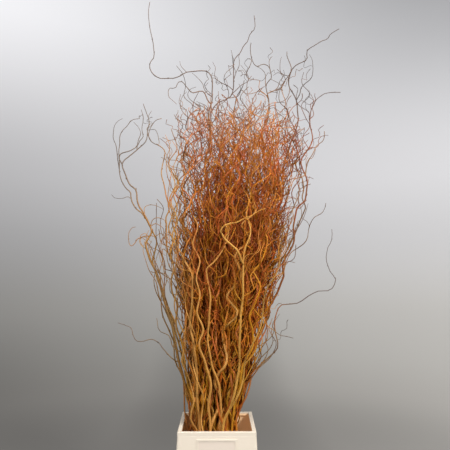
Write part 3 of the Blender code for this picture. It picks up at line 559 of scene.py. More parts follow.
def curve_through(points, heights=(0.0, 1.0), spacings=(0.04, 0.04)):
    """Points along the Catmull-Rom curve through `points`, spaced as `spacings` says at each height."""
    points = np.asarray(points, float)
    held = np.vstack([2 * points[0] - points[1], points, 2 * points[-1] - points[-2]])
    a, b, c, d = held[:-3, None], held[1:-2, None], held[2:-1, None], held[3:, None]
    t = np.linspace(0, 1, 12, endpoint=False)[None, :, None]
    fine = 2 * b + (c - a) * t + (2 * a - 5 * b + 4 * c - d) * t**2 + (3 * b - a - 3 * c + d) * t**3
    fine = np.vstack([fine.reshape(-1, 3) / 2, points[-1:]])
    steps = np.linalg.norm(np.diff(fine, axis=0), axis=1)
    middles = (fine[1:, 2] + fine[:-1, 2]) / 2
    stations = np.concatenate([[0], np.cumsum(steps / np.interp(middles, heights, spacings))])
    wanted = np.linspace(0, stations[-1], max(3, round(stations[-1])) + 1)
    return np.column_stack([np.interp(wanted, stations, fine[:, axis]) for axis in range(3)])


def drawn_route(depths, across_and_height):
    """A route's (across, height) points in metres, with their depth: from root to tip, with a bow."""
    flat = np.array(across_and_height) / SQUARES_PER_METRE
    t = np.linspace(0, 1, len(flat))
    bow = depths[2] if len(depths) > 2 else 0.0
    depth = depths[0] * (1 - t) + depths[1] * t + bow * np.sin(math.pi * t)
    return np.column_stack([flat[:, 0], depth, flat[:, 1]])


def drawn_stem(depths, across_and_height):
    """A drawn route, with the hidden stretch from the holder's floor to its rim."""
    route = drawn_route(depths, across_and_height)
    foot = route[0] * (ROOT_SHARE, ROOT_SHARE, 0) + (0, 0, FLOOR_THICKNESS + FOOT_GAP)
    knee = (foot * 0.6 + route[0] * 0.4) * (1, 1, 0) + (0, 0, 0.45 * HOLDER_HEIGHT)
    return np.vstack([foot, knee, route])

# %% [markdown]
# ## A free stem
#
# The free stems stand like the seeds of a sunflower: each is turned from the last by the golden angle, and
# the distance from the middle grows with the square root of its number. That fills the outline evenly
# without rows. As a stem climbs it also turns a little about the bunch, which makes neighbours cross.

# %% One free stem
def free_stem(number, rng):
    """A stem placed by the sunflower rule in the bunch's outline. It turns and waves as it climbs."""
    share = math.sqrt((number + 0.5) / FREE_STEMS)
    angle = number * math.pi * (3 - math.sqrt(5)) + rng.uniform(-0.3, 0.3)
    top = HIGHEST_TOP - (HIGHEST_TOP - LOWEST_TOP) * (0.55 * share + 0.45 * rng.random())
    height = np.arange(FLOOR_THICKNESS + FOOT_GAP, top, 0.025)
    turn = angle + rng.uniform(-1, 1) * TURN_ABOUT_BUNCH * (height / top) ** 1.5
    reach = share * np.interp(height, BUNCH_HEIGHTS, BUNCH_RADII)
    wave = np.interp(height, WAVE_HEIGHTS, WAVE_SIZES) * rng.uniform(0.75, 1.3)
    waves = np.cumsum(height[1] - height[0] + 0 * height) / np.interp(height, WAVE_HEIGHTS, WAVE_LENGTHS)
    phase = rng.uniform(0, 2 * math.pi, 4)
    pace = 2 * math.pi * rng.uniform(0.85, 1.2, 2)
    ripple = [np.sin(1.9 * pace[1 - k] * waves + phase[k + 2]) for k in (0, 1)]
    sway = [np.sin(pace[k] * waves + phase[k]) + RIPPLE_SHARE * ripple[k] for k in (0, 1)]
    middle = np.interp(height, BUNCH_HEIGHTS, BUNCH_ACROSS)
    return np.column_stack([
        middle + reach * np.cos(turn) + wave * sway[0],
        DEPTH_SHARE * reach * np.sin(turn) + wave * sway[1],
        height,
    ])

# %% [markdown]
# ## A winding shoot
#
# A corkscrew is a circle carried along a line. The line starts at an angle to the stem and bends up towards
# the light. Subtracting the circle's first point starts the coil on the stem itself, and the coil opens
# over the first five centimetres.

# %% A corkscrew
def corkscrew(start, along, outward, length, winding, rng):
    """A shoot: it leaves its stem, climbs back towards the vertical and winds about its own line."""
    heading = unit(along * math.cos(winding.leave_angle) + outward * math.sin(winding.leave_angle))
    run = np.linspace(0, length, max(4, round(length / winding.spacing)) + 1)[:, None]
    climb = winding.climb * rng.uniform(0.3, 1.3) * (run / length)
    headings = unit(heading + climb * (0, 0, 1))
    line = start + np.vstack([np.zeros(3), np.cumsum(headings[1:] * np.diff(run, axis=0), axis=0)])
    side = unit(np.cross(heading, (0.3, 0.2, 0.93)))
    over = np.cross(heading, side)
    phase = rng.uniform(0, 2 * math.pi)
    angle = phase + 2 * math.pi * run / rng.uniform(*winding.pitches) * rng.choice((-1, 1))
    coil = rng.uniform(*winding.coil_radii) * np.minimum(1, run / 0.05)
    sideways = (np.cos(angle) - math.cos(phase)) * side + (np.sin(angle) - math.sin(phase)) * over
    return line + coil * sideways

# %% [markdown]
# ## Keeping the branches apart
#
# All points of all branches live in one array. That makes it possible to ease the whole bunch at once: find
# each pair of pieces that come too close, and push both by about half of what is missing. A gentle pull
# along each branch spreads a push over its neighbours, so that wood bends instead of kinking. Only pieces
# whose middles are near each other are measured.

# %% The whole bunch as one array
class Bunch:
    """Every branch's points in one array, so that all of them can be eased apart together.

    A path is a stem or a shoot: its branch, the numbers of its points, and its radii. A shoot's first
    point is the point of the stem that it grows from, so it moves with the stem.
    """

    def __init__(self):
        self.points = np.zeros((0, 3))
        self.paths = []
        self.guides = {}

    def add(self, branch, points, radii, grows_from=None, guide=None):
        """Adds a path and gives the numbers of its points. `guide` is the line that it follows."""
        first = len(self.points)
        fresh = points if grows_from is None else points[1:]
        numbers = np.arange(first, first + len(fresh))
        if grows_from is not None:
            numbers = np.concatenate([[grows_from], numbers])
        self.points = np.vstack([self.points, fresh])
        self.paths.append((branch, numbers, radii))
        self.guides[numbers[-1]] = points if guide is None else guide
        return numbers

    def segments(self):
        """The two ends, the radius, the branch and the path of each straight piece of wood."""
        rows = [
            np.column_stack([numbers[:-1], numbers[1:], np.full(len(numbers) - 1, k)])
            for k, (_, numbers, _) in enumerate(self.paths)
        ]
        ends = np.vstack(rows)
        radii = np.concatenate([np.maximum(radii[:-1], radii[1:]) for _, _, radii in self.paths])
        branches = np.array([branch for branch, _, _ in self.paths])[ends[:, 2]]
        return ends[:, :2], radii, branches, ends[:, 2]

# %% Pieces that come close
def near_pairs(points, ends, radii, branches, margin):
    """Pairs of pieces of different branches whose middles are near enough for them to touch."""
    a, b = points[ends[:, 0]], points[ends[:, 1]]
    middle = ((a + b) / 2).astype(np.float32)
    half = (np.linalg.norm(a - b, axis=1) / 2 + radii + margin / 2).astype(np.float32)
    square = (middle**2).sum(axis=1)
    apart = square[:, None] + square[None, :] - 2 * middle @ middle.T
    near = (apart < (half[:, None] + half[None, :]) ** 2) & (branches[:, None] < branches[None, :])
    return np.nonzero(near)


def closest(p1, q1, p2, q2):
    """How far along each of two pieces of wood, as a share of it, they come closest."""
    d1, d2, r = q1 - p1, q2 - p2, p1 - p2
    a, e, b = (d1 * d1).sum(1), (d2 * d2).sum(1), (d1 * d2).sum(1)
    c, f = (d1 * r).sum(1), (d2 * r).sum(1)
    spread = np.maximum(a * e - b * b, 1e-14)
    s = np.clip((b * f - c * e) / spread, 0, 1)
    t = (b * s + f) / e
    s = np.where(t < 0, np.clip(-c / a, 0, 1), np.where(t > 1, np.clip((b - c) / a, 0, 1), s))
    return s, np.clip(t, 0, 1)


def gaps(points, ends, pairs):
    """For each pair: the shares along both pieces, the way from the second to the first, its length."""
    i, j = pairs
    p1, q1, p2, q2 = points[ends[i, 0]], points[ends[i, 1]], points[ends[j, 0]], points[ends[j, 1]]
    s, t = closest(p1, q1, p2, q2)
    way = (p1 + (q1 - p1) * s[:, None]) - (p2 + (q2 - p2) * t[:, None])
    return s, t, way, np.linalg.norm(way, axis=1)

# %% Easing apart
EASING_MARGIN = 0.008
DROPPING_MARGIN = 0.004
PUSH_SHARE = 0.55
UPRIGHT_SHARE = 0.5


def hold_in_box(bunch):
    """Feet stand on the holder's floor, upright, and nothing inside the holder reaches its walls."""
    for _, numbers, radii in bunch.paths:
        if bunch.points[numbers[0], 2] > FLOOR_THICKNESS + 2 * FOOT_GAP:
            continue
        foot, second = numbers[0], numbers[1]
        bunch.points[foot, :2] = bunch.points[second, :2]
        bunch.points[foot, 2] = FLOOR_THICKNESS + FOOT_GAP
    low = bunch.points[:, 2] < HOLDER_HEIGHT + 0.03
    room = RIM_WIDTH / 2 - LIP_WIDTH - STEM_RADII[1] - 2 * CLEARANCE
    bunch.points[low, :2] = np.clip(bunch.points[low, :2], -room, room)


def ease_apart(bunch, spread):
    """Pushes branches apart where they cross, mostly sideways. `spread` evens each push out along them."""
    ends, radii, branches, _ = bunch.segments()
    start = bunch.points.copy()
    tied = np.vstack([ends, ends[:, ::-1]])
    ties = np.maximum(np.bincount(tied[:, 0], minlength=len(start)), 1)[:, None]
    for turn in range(EASING_ROUNDS):
        if turn % PAIRS_EVERY == 0:
            pairs = near_pairs(bunch.points, ends, radii, branches, EASING_MARGIN)
        s, t, way, far = gaps(bunch.points, ends, pairs)
        i, j = pairs
        short = radii[i] + radii[j] + CLEARANCE - far
        hit = short > 0
        if turn > 0 and not hit.any():
            break
        push = unit(way[hit] + (1e-7, 2e-7, 0)) * (short[hit] * PUSH_SHARE)[:, None]
        push[:, 2] *= UPRIGHT_SHARE
        moves = np.zeros_like(bunch.points)
        for piece, share, sign in ((i[hit], s[hit], 1), (j[hit], t[hit], -1)):
            np.add.at(moves, ends[piece, 0], sign * push * (1 - share)[:, None])
            np.add.at(moves, ends[piece, 1], sign * push * share[:, None])
        bunch.points += moves
        bend = bunch.points - start
        around = np.zeros_like(bend)
        np.add.at(around, tied[:, 0], bend[tied[:, 1]])
        bunch.points += spread * (around / ties - bend)
        hold_in_box(bunch)


def drop_crossing_shoots(bunch, stem_count):
    """Leaves out each shoot that still touches another branch. The stems come first among the paths."""
    ends, radii, branches, paths = bunch.segments()
    pairs = near_pairs(bunch.points, ends, radii, branches, DROPPING_MARGIN)
    far = gaps(bunch.points, ends, pairs)[3]
    i, j = pairs
    touching = far < radii[i] + radii[j] + SMALLEST_CLEARANCE
    dropped = set()
    for first, second in sorted(set(zip(paths[i[touching]].tolist(), paths[j[touching]].tolist()))):
        later = max(first, second)
        if later < stem_count:
            print("stems", first, "and", second, "touch")
        elif first not in dropped and second not in dropped:
            dropped.add(later)
    bunch.paths = [path for k, path in enumerate(bunch.paths) if k not in dropped]
    return len(dropped)

# %% [markdown]
# ## Growing it
#
# Stems come first, then the drawn side shoots, the second leaders, and the shoots. Shoots are turned on
# by the golden angle about their stem. The ones near the outline lean back inwards, because a shoot that
# left the bunch would break in the florist's hands.

# %% Leaders and shoots
GOLDEN_TURN = 2.4


def add_leader(bunch, branch, numbers, radii, rng):
    """Forks the stem low down into a second leader, which climbs beside it."""
    heights = bunch.points[numbers, 2]
    at = int(np.argmin(np.abs(heights - rng.uniform(*LEADER_HEIGHTS))))
    here = bunch.points[numbers[at]]
    along = unit(bunch.points[numbers[at + 1]] - bunch.points[numbers[at - 1]])
    turn = rng.uniform(0, 2 * math.pi)
    outward = np.array([math.cos(turn), math.sin(turn), 0.0])
    left = np.linalg.norm(bunch.points[numbers[-1]] - here)
    length = min(rng.uniform(*LEADER_LENGTHS), 0.9 * left)
    points = corkscrew(here, along, outward, length, LEADER_WINDING, rng)
    thin = np.linspace(LEADER_SHARE * radii[at], SHOOT_TIP_RADIUS, len(points))
    bunch.add(branch, points, thin, numbers[at])


def add_shoots(bunch, branch, numbers, radii, rng):
    """Spaces side shoots along the upper part of a stem, each turned on from the last about the stem."""
    heights = bunch.points[numbers, 2]
    usable = np.nonzero((heights > LOWEST_SHOOT) & (heights < HIGHEST_SHOOT))[0][:-2]
    picked = np.linspace(0.10, 0.85, SHOOTS_PER_STEM) * (len(usable) - 1)
    picked = np.round(picked + rng.uniform(-1.2, 1.2, SHOOTS_PER_STEM))
    picked = np.unique(np.clip(picked, 0, len(usable) - 1).astype(int))
    turn = rng.uniform(0, 2 * math.pi)
    for k, at in enumerate(usable[picked]):
        here = bunch.points[numbers[at]]
        along = unit(bunch.points[numbers[at + 1]] - bunch.points[numbers[at - 1]])
        middle = np.array([np.interp(here[2], BUNCH_HEIGHTS, BUNCH_ACROSS), 0, here[2]])
        away = unit((here - middle) * (1, 1, 0))
        angle = turn + k * GOLDEN_TURN
        off = np.hypot(here[0] - middle[0], here[1] / DEPTH_SHARE)
        reach = off / np.interp(here[2], BUNCH_HEIGHTS, BUNCH_RADII)
        if reach > WIDEST_SHOOT:
            continue
        own_way = np.array([math.cos(angle), math.sin(angle), 0.15])
        outward = unit(own_way + away * (0.8 if reach < 1 else -0.9))
        left = np.linalg.norm(bunch.points[numbers[-1]] - here)
        length = min(rng.uniform(*SHOOT_LENGTHS), 0.08 + 0.7 * left)
        points = corkscrew(here, along, outward, length, SHOOT_WINDING, rng)
        thick = min(SHOOT_SHARE * radii[at], THICKEST_SHOOT)
        bunch.add(branch, points, np.linspace(thick, SHOOT_TIP_RADIUS, len(points)), numbers[at])

# %% The whole bunch
def grow_bunch():
    """All branches, drawn and free, with their shoots, eased apart."""
    rng = np.random.default_rng(SEED)
    bunch = Bunch()
    names = list(ROUTES) + [f"free_{k + 1:02d}" for k in range(FREE_STEMS)]
    stems = []
    for branch, name in enumerate(names):
        guide = drawn_stem(*ROUTES[name]) if name in ROUTES else free_stem(branch - len(ROUTES), rng)
        points = curve_through(guide, SPACING_HEIGHTS, SPACINGS)
        grown = np.linspace(0, 1, len(points))
        radii = rng.uniform(*STEM_RADII) * (1 - grown) ** TAPER + TIP_RADIUS
        numbers = bunch.add(branch, points, radii, guide=guide)
        stems.append((branch, name, numbers, radii))
    for parent, share, depths, flat in LIMBS:
        branch, _, numbers, radii = stems[names.index(parent)]
        route = drawn_route(depths, flat)
        at = int(np.argmin(np.linalg.norm(bunch.points[numbers] - route[0], axis=1)))
        route[0] = bunch.points[numbers[at]]
        points = curve_through(route, spacings=(LIMB_SPACING, LIMB_SPACING))
        thin = np.linspace(share * radii[at], SHOOT_TIP_RADIUS, len(points))
        bunch.add(branch, points, thin, numbers[at], route)
    for branch, _, numbers, radii in stems:
        add_leader(bunch, branch, numbers, radii, rng)
    for branch, _, numbers, radii in stems:
        add_shoots(bunch, branch, numbers, radii, rng)
    bunch.before = bunch.points.copy()
    for spread in (BEND_SPREAD, 0.0):
        ease_apart(bunch, spread)
    left_out = drop_crossing_shoots(bunch, len(names))
    print(len(names), "branches,", len(bunch.paths), "paths,", left_out, "shoots left out")
    return bunch, names


bunch, branch_names = grow_bunch()

# %% [markdown]
# ## From coarse points to smooth wood
#
# The rules above give each stem a point every few centimetres, which is all that a solid needs. Real wood
# bends smoothly, so each line is drawn again through its own guide points, and then moved as the easing
# moved its coarse points. With the same number of steps on every stem, all stems fit into one array, and
# numpy works on all of them at once.

# %% Smooth lines in even steps
FINE_SPACING = (0.006, 0.006)
STEM_STEPS = 150
LIMB_STEPS = 44


def shares(points):
    """How far along its line each point lies, from 0 to 1."""
    run = np.concatenate([[0], np.cumsum(np.linalg.norm(np.diff(points, axis=0), axis=1))])
    return run / run[-1]


def smooth_line(path, count):
    """A path's line and radii at `count` even steps: its guide's curve, plus the easing at each place."""
    _, numbers, radii = path
    fine = curve_through(bunch.guides[numbers[-1]], spacings=FINE_SPACING)
    wanted = np.linspace(0, 1, count)
    along = shares(bunch.before[numbers])
    eased = bunch.points[numbers] - bunch.before[numbers]
    line = [
        np.interp(wanted, shares(fine), fine[:, axis]) + np.interp(wanted, along, eased[:, axis])
        for axis in range(3)
    ]
    return np.column_stack(line), np.interp(wanted, along, radii)


class Shoots:
    """Shoots of one rank in arrays: lines (shoot, step, xyz), radii (shoot, step) and branches (shoot).

    `sides` says how many sides their tubes have, and `run` how far up its shoot each step lies.
    """

    def __init__(self, lines, radii, branches, sides):
        self.lines = np.asarray(lines)
        self.radii = np.asarray(radii)
        self.branches = np.asarray(branches)
        self.sides = sides
        steps = np.linalg.norm(np.diff(self.lines, axis=1), axis=2)
        self.run = np.pad(np.cumsum(steps, axis=1), ((0, 0), (1, 0)))

    def along(self):
        """The direction of growth at each step."""
        return unit(np.gradient(self.lines, axis=1))


stem_paths, limb_paths = bunch.paths[:len(branch_names)], bunch.paths[len(branch_names):]
stems, limbs = (
    Shoots(*zip(*(smooth_line(path, steps) for path in paths)), [branch for branch, _, _ in paths], sides)
    for paths, steps, sides in ((stem_paths, STEM_STEPS, 8), (limb_paths, LIMB_STEPS, 6))
)
print(len(stems.lines), "stems and", len(limbs.lines), "side shoots, as in the solids")

# %% [markdown]
# Some thin twigs stand alone against the wall and draw the eye as much as the stems do, so they are drawn
# too: the curls about the two loops on the left, the lace between the crowns, and the hooks on the right.
# They are too thin for the solids. Each one starts on the nearest point of its stem.

# %% Drawn twigs: their stem, depth at the root and the tip, then (across, height)
DRAWN_TWIGS = (
    ("left_twin", (0.003, 0.003), (
        (-139, 499), (-141, 510), (-143, 523), (-145, 534), (-148, 542), (-148, 552), (-147, 560),
        (-142, 567), (-136, 570))),
    ("left_loop", (-0.061, -0.061), (
        (-130, 498), (-134, 506), (-132, 512), (-124, 515), (-117, 518), (-110, 524), (-106, 533),
        (-102, 537), (-104, 550), (-102, 564), (-105, 575))),
    ("left_loop", (-0.047, -0.027), ((-111, 521), (-110, 533), (-107, 544), (-111, 554), (-117, 561))),
    ("left_loop", (-0.065, -0.085), (
        (-91, 415), (-88, 423), (-81, 426), (-73, 423), (-68, 418), (-69, 408))),
    ("left_loop", (-0.067, -0.037), ((-96, 428), (-98, 439), (-92, 443), (-84, 442), (-77, 439))),
    ("left_twin", (-0.004, -0.024), ((-121, 456), (-126, 458), (-133, 455), (-142, 455), (-146, 459))),
    ("left_golden", (-0.064, -0.044), ((-92, 532), (-97, 544), (-94, 556), (-96, 567), (-92, 576))),
    ("tall_left", (0.063, 0.033), (
        (-14, 602), (-19, 608), (-23, 620), (-30, 620), (-39, 617), (-45, 623), (-50, 629), (-52, 632),
        (-60, 631), (-61, 625), (-65, 622), (-71, 622), (-72, 615), (-71, 607), (-66, 602), (-60, 596))),
    ("tall_left", (0.064, 0.064), ((-20, 613), (-25, 622), (-25, 631), (-28, 637), (-34, 644), (-38, 647))),
    ("crown_middle", (0.059, 0.059), (
        (23, 620), (15, 627), (7, 631), (-2, 638), (-4, 646), (-3, 655), (-7, 664))),
    ("crown_middle", (0.058, 0.058), ((23, 636), (27, 647), (32, 656), (33, 666), (32, 673), (35, 680))),
    ("crown_middle", (0.06, 0.06), ((21, 617), (29, 609), (30, 600), (35, 591), (38, 579))),
    ("crown_middle", (0.06, 0.08), (
        (23, 618), (30, 624), (38, 631), (45, 636), (46, 645), (41, 655), (35, 663))),
    ("crown_right", (0.021, 0.021), (
        (73, 600), (69, 608), (62, 614), (54, 612), (47, 610), (40, 611), (34, 617))),
    ("crown_right", (0.017, 0.017), ((71, 615), (70, 626), (70, 636), (68, 642), (63, 647), (57, 650))),
    ("crown_right", (0.019, 0.039), (
        (75, 611), (81, 615), (90, 618), (93, 623), (90, 628), (84, 632), (79, 635))),
    ("crown_right", (0.002, 0.022), ((74, 646), (74, 656), (77, 663), (80, 667))),
    ("crown_right", (0.019, 0.049), (
        (83, 613), (92, 620), (94, 632), (97, 638), (93, 644), (88, 646), (83, 643))),
    ("right_top", (0.1, 0.1), ((108, 637), (107, 648), (101, 650), (95, 656), (94, 670), (97, 680))),
    ("right_top", (0.096, 0.076), (
        (118, 610), (124, 621), (126, 630), (132, 637), (138, 641), (142, 646), (144, 655), (144, 662),
        (143, 673), (139, 680))),
    ("right_arch", (-0.04, -0.04), (
        (119, 512), (124, 519), (130, 523), (137, 524), (141, 529), (140, 534), (143, 540), (148, 543),
        (155, 543))),
    ("right_arch", (-0.044, -0.044), ((123, 483), (125, 482), (129, 482), (133, 480))),
    ("right_arch", (-0.044, -0.044), ((109, 440), (100, 439), (91, 437), (85, 433))),
    ("right_arch", (-0.027, -0.027), ((130, 566), (135, 572), (133, 583), (136, 593), (132, 603))),
    ("front_fork", (-0.169, -0.159), (
        (33, 369), (28, 374), (24, 369), (21, 362), (21, 356), (23, 348), (26, 341))),
    ("front_fork", (-0.17, -0.17), ((14, 391), (10, 395), (14, 400), (16, 405), (18, 413))),
    ("right_bright", (-0.101, -0.131), ((47, 352), (43, 355), (40, 359), (37, 366))),
    ("left_bright", (-0.111, -0.131), (
        (-58, 397), (-64, 400), (-71, 395), (-74, 386), (-73, 378), (-67, 373))),
    ("left_golden", (-0.086, -0.066), ((-65, 375), (-73, 382), (-72, 366), (-71, 352), (-65, 338))),
    ("right_side", (0.049, 0.049), ((103, 555), (109, 549), (116, 554), (122, 558), (128, 563))),
    ("right_side", (0.064, 0.064), ((120, 521), (111, 520), (105, 524), (98, 532))),
    ("right_arch", (-0.039, -0.049), ((105, 406), (99, 412), (94, 420), (87, 429), (81, 437), (75, 442))),
    ("right_arch", (-0.039, -0.039), ((104, 403), (97, 402), (90, 396), (83, 391), (79, 384))),
    ("right_arch", (-0.039, -0.019), ((106, 403), (114, 416), (119, 427), (123, 440), (126, 448))),
    ("right_side", (0.074, 0.074), ((88, 359), (95, 367), (97, 377), (92, 387), (87, 395), (82, 405))),
    ("right_arch", (-0.043, -0.023), (
        (117, 496), (112, 488), (110, 477), (115, 466), (113, 456), (108, 448))),
    ("right_side", (0.069, 0.049), ((114, 513), (108, 502), (109, 490), (104, 476), (98, 464), (101, 452))),
    ("left_bright", (-0.113, -0.123), (
        (-34, 316), (-39, 327), (-42, 339), (-47, 354), (-51, 365), (-52, 376))),
    ("left_loop", (-0.061, -0.061), ((-91, 399), (-96, 405), (-103, 402), (-104, 394), (-100, 387))),
    ("left_loop", (-0.065, -0.065), (
        (-90, 414), (-84, 418), (-77, 415), (-72, 410), (-72, 401), (-75, 394))),
    ("tall_left", (0.071, 0.071), ((-47, 649), (-51, 654), (-55, 660), (-56, 667))),
    ("tall_left", (0.061, 0.041), (
        (-10, 588), (-20, 595), (-30, 599), (-39, 605), (-43, 612), (-40, 620), (-32, 623))),
    ("tall_left", (0.059, 0.079), (
        (-11, 561), (-24, 573), (-38, 578), (-50, 587), (-56, 600), (-53, 613), (-46, 621))),
    ("left_loop", (-0.034, -0.014), (
        (-59, 276), (-69, 299), (-78, 317), (-83, 338), (-92, 353), (-98, 369), (-102, 383), (-100, 392))),
    ("left_twin", (-0.004, 0.006), (
        (-65, 298), (-70, 314), (-78, 332), (-79, 348), (-85, 361), (-83, 375), (-79, 387))),
    ("left_loop", (-0.043, -0.063), (
        (-76, 332), (-77, 347), (-81, 361), (-88, 374), (-91, 385), (-95, 398), (-92, 409))),
    ("left_loop", (-0.061, -0.061), ((-91, 403), (-84, 401), (-77, 405), (-69, 401), (-64, 394))),
    ("left_loop", (-0.055, -0.045), (
        (-95, 382), (-102, 387), (-106, 394), (-101, 400), (-94, 398), (-89, 392))),
    ("right_side", (0.055, 0.065), (
        (29, 164), (40, 179), (47, 195), (53, 213), (59, 229), (63, 243), (65, 257), (64, 271), (67, 287))),
    ("right_side", (0.055, 0.035), (
        (32, 177), (39, 189), (46, 208), (53, 227), (60, 241), (57, 258), (54, 272), (60, 288), (69, 302))),
    ("right_side", (0.055, 0.005), (
        (31, 168), (37, 186), (46, 215), (54, 235), (65, 249), (71, 263), (70, 278), (66, 293), (69, 307))),
    ("right_side", (0.055, 0.085), (
        (33, 188), (42, 204), (52, 221), (55, 240), (50, 254), (53, 269), (61, 281), (60, 298))),
    ("right_bright", (-0.051, -0.051), (
        (28, 200), (38, 215), (46, 228), (54, 241), (60, 256), (59, 270), (53, 283), (56, 297))),
    ("right_bright", (-0.062, -0.032), (
        (34, 232), (44, 239), (52, 251), (55, 265), (60, 276), (64, 288), (62, 300))),
    ("right_arch", (0.001, 0.021), (
        (41, 205), (49, 214), (57, 224), (66, 235), (70, 247), (67, 259), (70, 273), (75, 283))),
    ("left_golden", (-0.063, -0.063), (
        (-54, 284), (-61, 300), (-68, 311), (-71, 326), (-67, 342), (-70, 355), (-75, 366), (-79, 379))),
    ("left_twin", (-0.005, -0.025), (
        (-75, 328), (-83, 342), (-86, 358), (-92, 372), (-95, 385), (-90, 395))),
    ("left_loop", (-0.029, 0.001), (
        (-55, 255), (-65, 275), (-74, 293), (-77, 315), (-73, 333), (-79, 353), (-75, 369), (-81, 386),
        (-77, 400))),
    ("left_twin", (-0.003, 0.027), (
        (-53, 260), (-62, 284), (-73, 303), (-83, 321), (-89, 340), (-87, 357), (-95, 375), (-92, 389))),
    ("left_golden", (-0.083, -0.073), (
        (-45, 366), (-52, 384), (-47, 402), (-54, 419), (-49, 438), (-56, 456), (-52, 476), (-59, 494),
        (-53, 513), (-62, 530))),
    ("left_golden", (-0.086, -0.096), (
        (-60, 375), (-56, 395), (-63, 411), (-58, 429), (-63, 448), (-56, 467), (-62, 486), (-69, 502),
        (-64, 520), (-70, 536))),
    ("left_golden", (-0.083, -0.063), (
        (-40, 355), (-44, 379), (-40, 398), (-46, 419), (-42, 441), (-48, 463), (-44, 485), (-50, 507),
        (-46, 527))),
    ("right_side", (0.055, 0.025), (
        (32, 169), (44, 193), (54, 215), (63, 234), (60, 250), (65, 265), (63, 279), (68, 294))),
    ("right_side", (0.055, 0.015), (
        (31, 161), (40, 183), (49, 206), (57, 225), (68, 238), (76, 249), (78, 261), (72, 275), (76, 289))),
    ("right_arch", (0.001, 0.031), (
        (38, 198), (46, 210), (57, 222), (70, 232), (78, 243), (81, 255), (76, 267), (78, 280), (87, 294))),
    ("right_bright", (-0.062, -0.042), (
        (38, 221), (45, 237), (53, 250), (53, 262), (48, 275), (55, 288), (64, 299), (71, 310))),
    ("right_side", (0.063, 0.063), ((63, 240), (72, 250), (79, 259), (82, 269), (79, 279), (84, 290))),
)
DRAWN_TWIG_STEPS = 26


def drawn_twig(parent, depths, across_and_height):
    """A drawn twig in even steps. It starts on its stem, and the shift that takes fades along it."""
    line = curve_through(drawn_route(depths, across_and_height), spacings=FINE_SPACING)
    branch = branch_names.index(parent)
    wood = np.vstack([stems.lines[branch], *limbs.lines[limbs.branches == branch]])
    nearest = wood[np.argmin(np.linalg.norm(wood - line[0], axis=1))]
    wanted = np.linspace(0, 1, DRAWN_TWIG_STEPS)
    even = np.column_stack([np.interp(wanted, shares(line), line[:, axis]) for axis in range(3)])
    return even + (nearest - line[0]) * (1 - wanted[:, None]) ** 2, branch


def twig_radii(line):
    """From 0.9 mm and 5 mm for each metre of length at the root, down to 0.7 mm at the tip."""
    length = np.linalg.norm(np.diff(line, axis=0), axis=1).sum()
    return np.linspace(0.0009 + 0.0050 * length, 0.0007, len(line))


drawn = [drawn_twig(*twig) for twig in DRAWN_TWIGS]
lace = Shoots(
    [line for line, _ in drawn], [twig_radii(line) for line, _ in drawn], [branch for _, branch in drawn],
    sides=5,
)
print(len(lace.lines), "drawn twigs")

# %% [markdown]
# ## Shoots and twigs too fine for the solids
#
# A willow shoot leaves its parent at a narrow angle, turns up towards the light, and curls because one
# side grows faster than the other, first one side and then the next. So a new shoot is made from its
# direction, not from its place: the direction swings round two axes at two different paces, and adding
# up short steps in that direction gives the line. Where the swing is strong, the shoot hooks back on
# itself, as willow does.
#
# A growth says how one rank of fine wood comes: how many to a metre at which heights, from which share of
# its parent on, how long and for how much of the parent's rest, at what angle, how many metres to a swing,
# how wide it swings and how strongly it rises. Then come its steps and sides, its thickness as a share of
# its parent's, at the root and at the tip, and how far and how often it may pass the bunch's outline.

# %% The growth of forks, side shoots and twigs
Growth = namedtuple("Growth", (
    "heights per_metre first lengths of_rest leave paces swings rises"
    " steps sides of_parent thickest tip margin strays"
))
LOW_FORK = Growth(
    heights=(0.08, 0.10, 0.40, 0.80), per_metre=(0.0, 50.0, 34.0, 0.0), first=0.0,
    lengths=(0.50, 0.90), of_rest=0.75, leave=0.18,
    paces=(0.12, 0.24), swings=(0.30, 0.62), rises=(0.2, 0.8), steps=48, sides=5,
    of_parent=0.85, thickest=0.0036, tip=0.0010, margin=0.028, strays=0.0,
)
SIDE_SHOOT = Growth(
    heights=(0.46, 0.60, 0.80, 1.10, 1.25, 1.42, 1.60),
    per_metre=(0.0, 9.0, 18.0, 15.5, 14.0, 8.5, 3.0), first=0.1,
    lengths=(0.18, 0.56), of_rest=0.8, leave=0.50,
    paces=(0.08, 0.19), swings=(0.38, 0.95), rises=(0.5, 1.9), steps=34, sides=4,
    of_parent=0.65, thickest=0.0031, tip=0.0012, margin=0.024, strays=0.22,
)
TWIG = Growth(
    heights=(0.58, 0.75, 1.0, 1.25, 1.45, 1.65),
    per_metre=(0.0, 8.0, 13.0, 11.5, 8.5, 6.5), first=0.06,
    lengths=(0.04, 0.18), of_rest=0.8, leave=0.75,
    paces=(0.04, 0.09), swings=(0.5, 1.2), rises=(0.2, 1.4), steps=11, sides=3,
    of_parent=0.65, thickest=0.0020, tip=0.0010, margin=0.045, strays=0.5,
)
for rank, growth in (("low forks", LOW_FORK), ("side shoots", SIDE_SHOOT), ("twigs", TWIG)):
    print(rank, "grow", growth.lengths[0], "to", growth.lengths[1], "m long")

# %% Shoots that curl as they grow
def square_to(along, ways):
    """Each way without its part along `along`, at length 1: way - along * (way . along)."""
    return unit(ways - along * (ways * along).sum(1, keepdims=True))


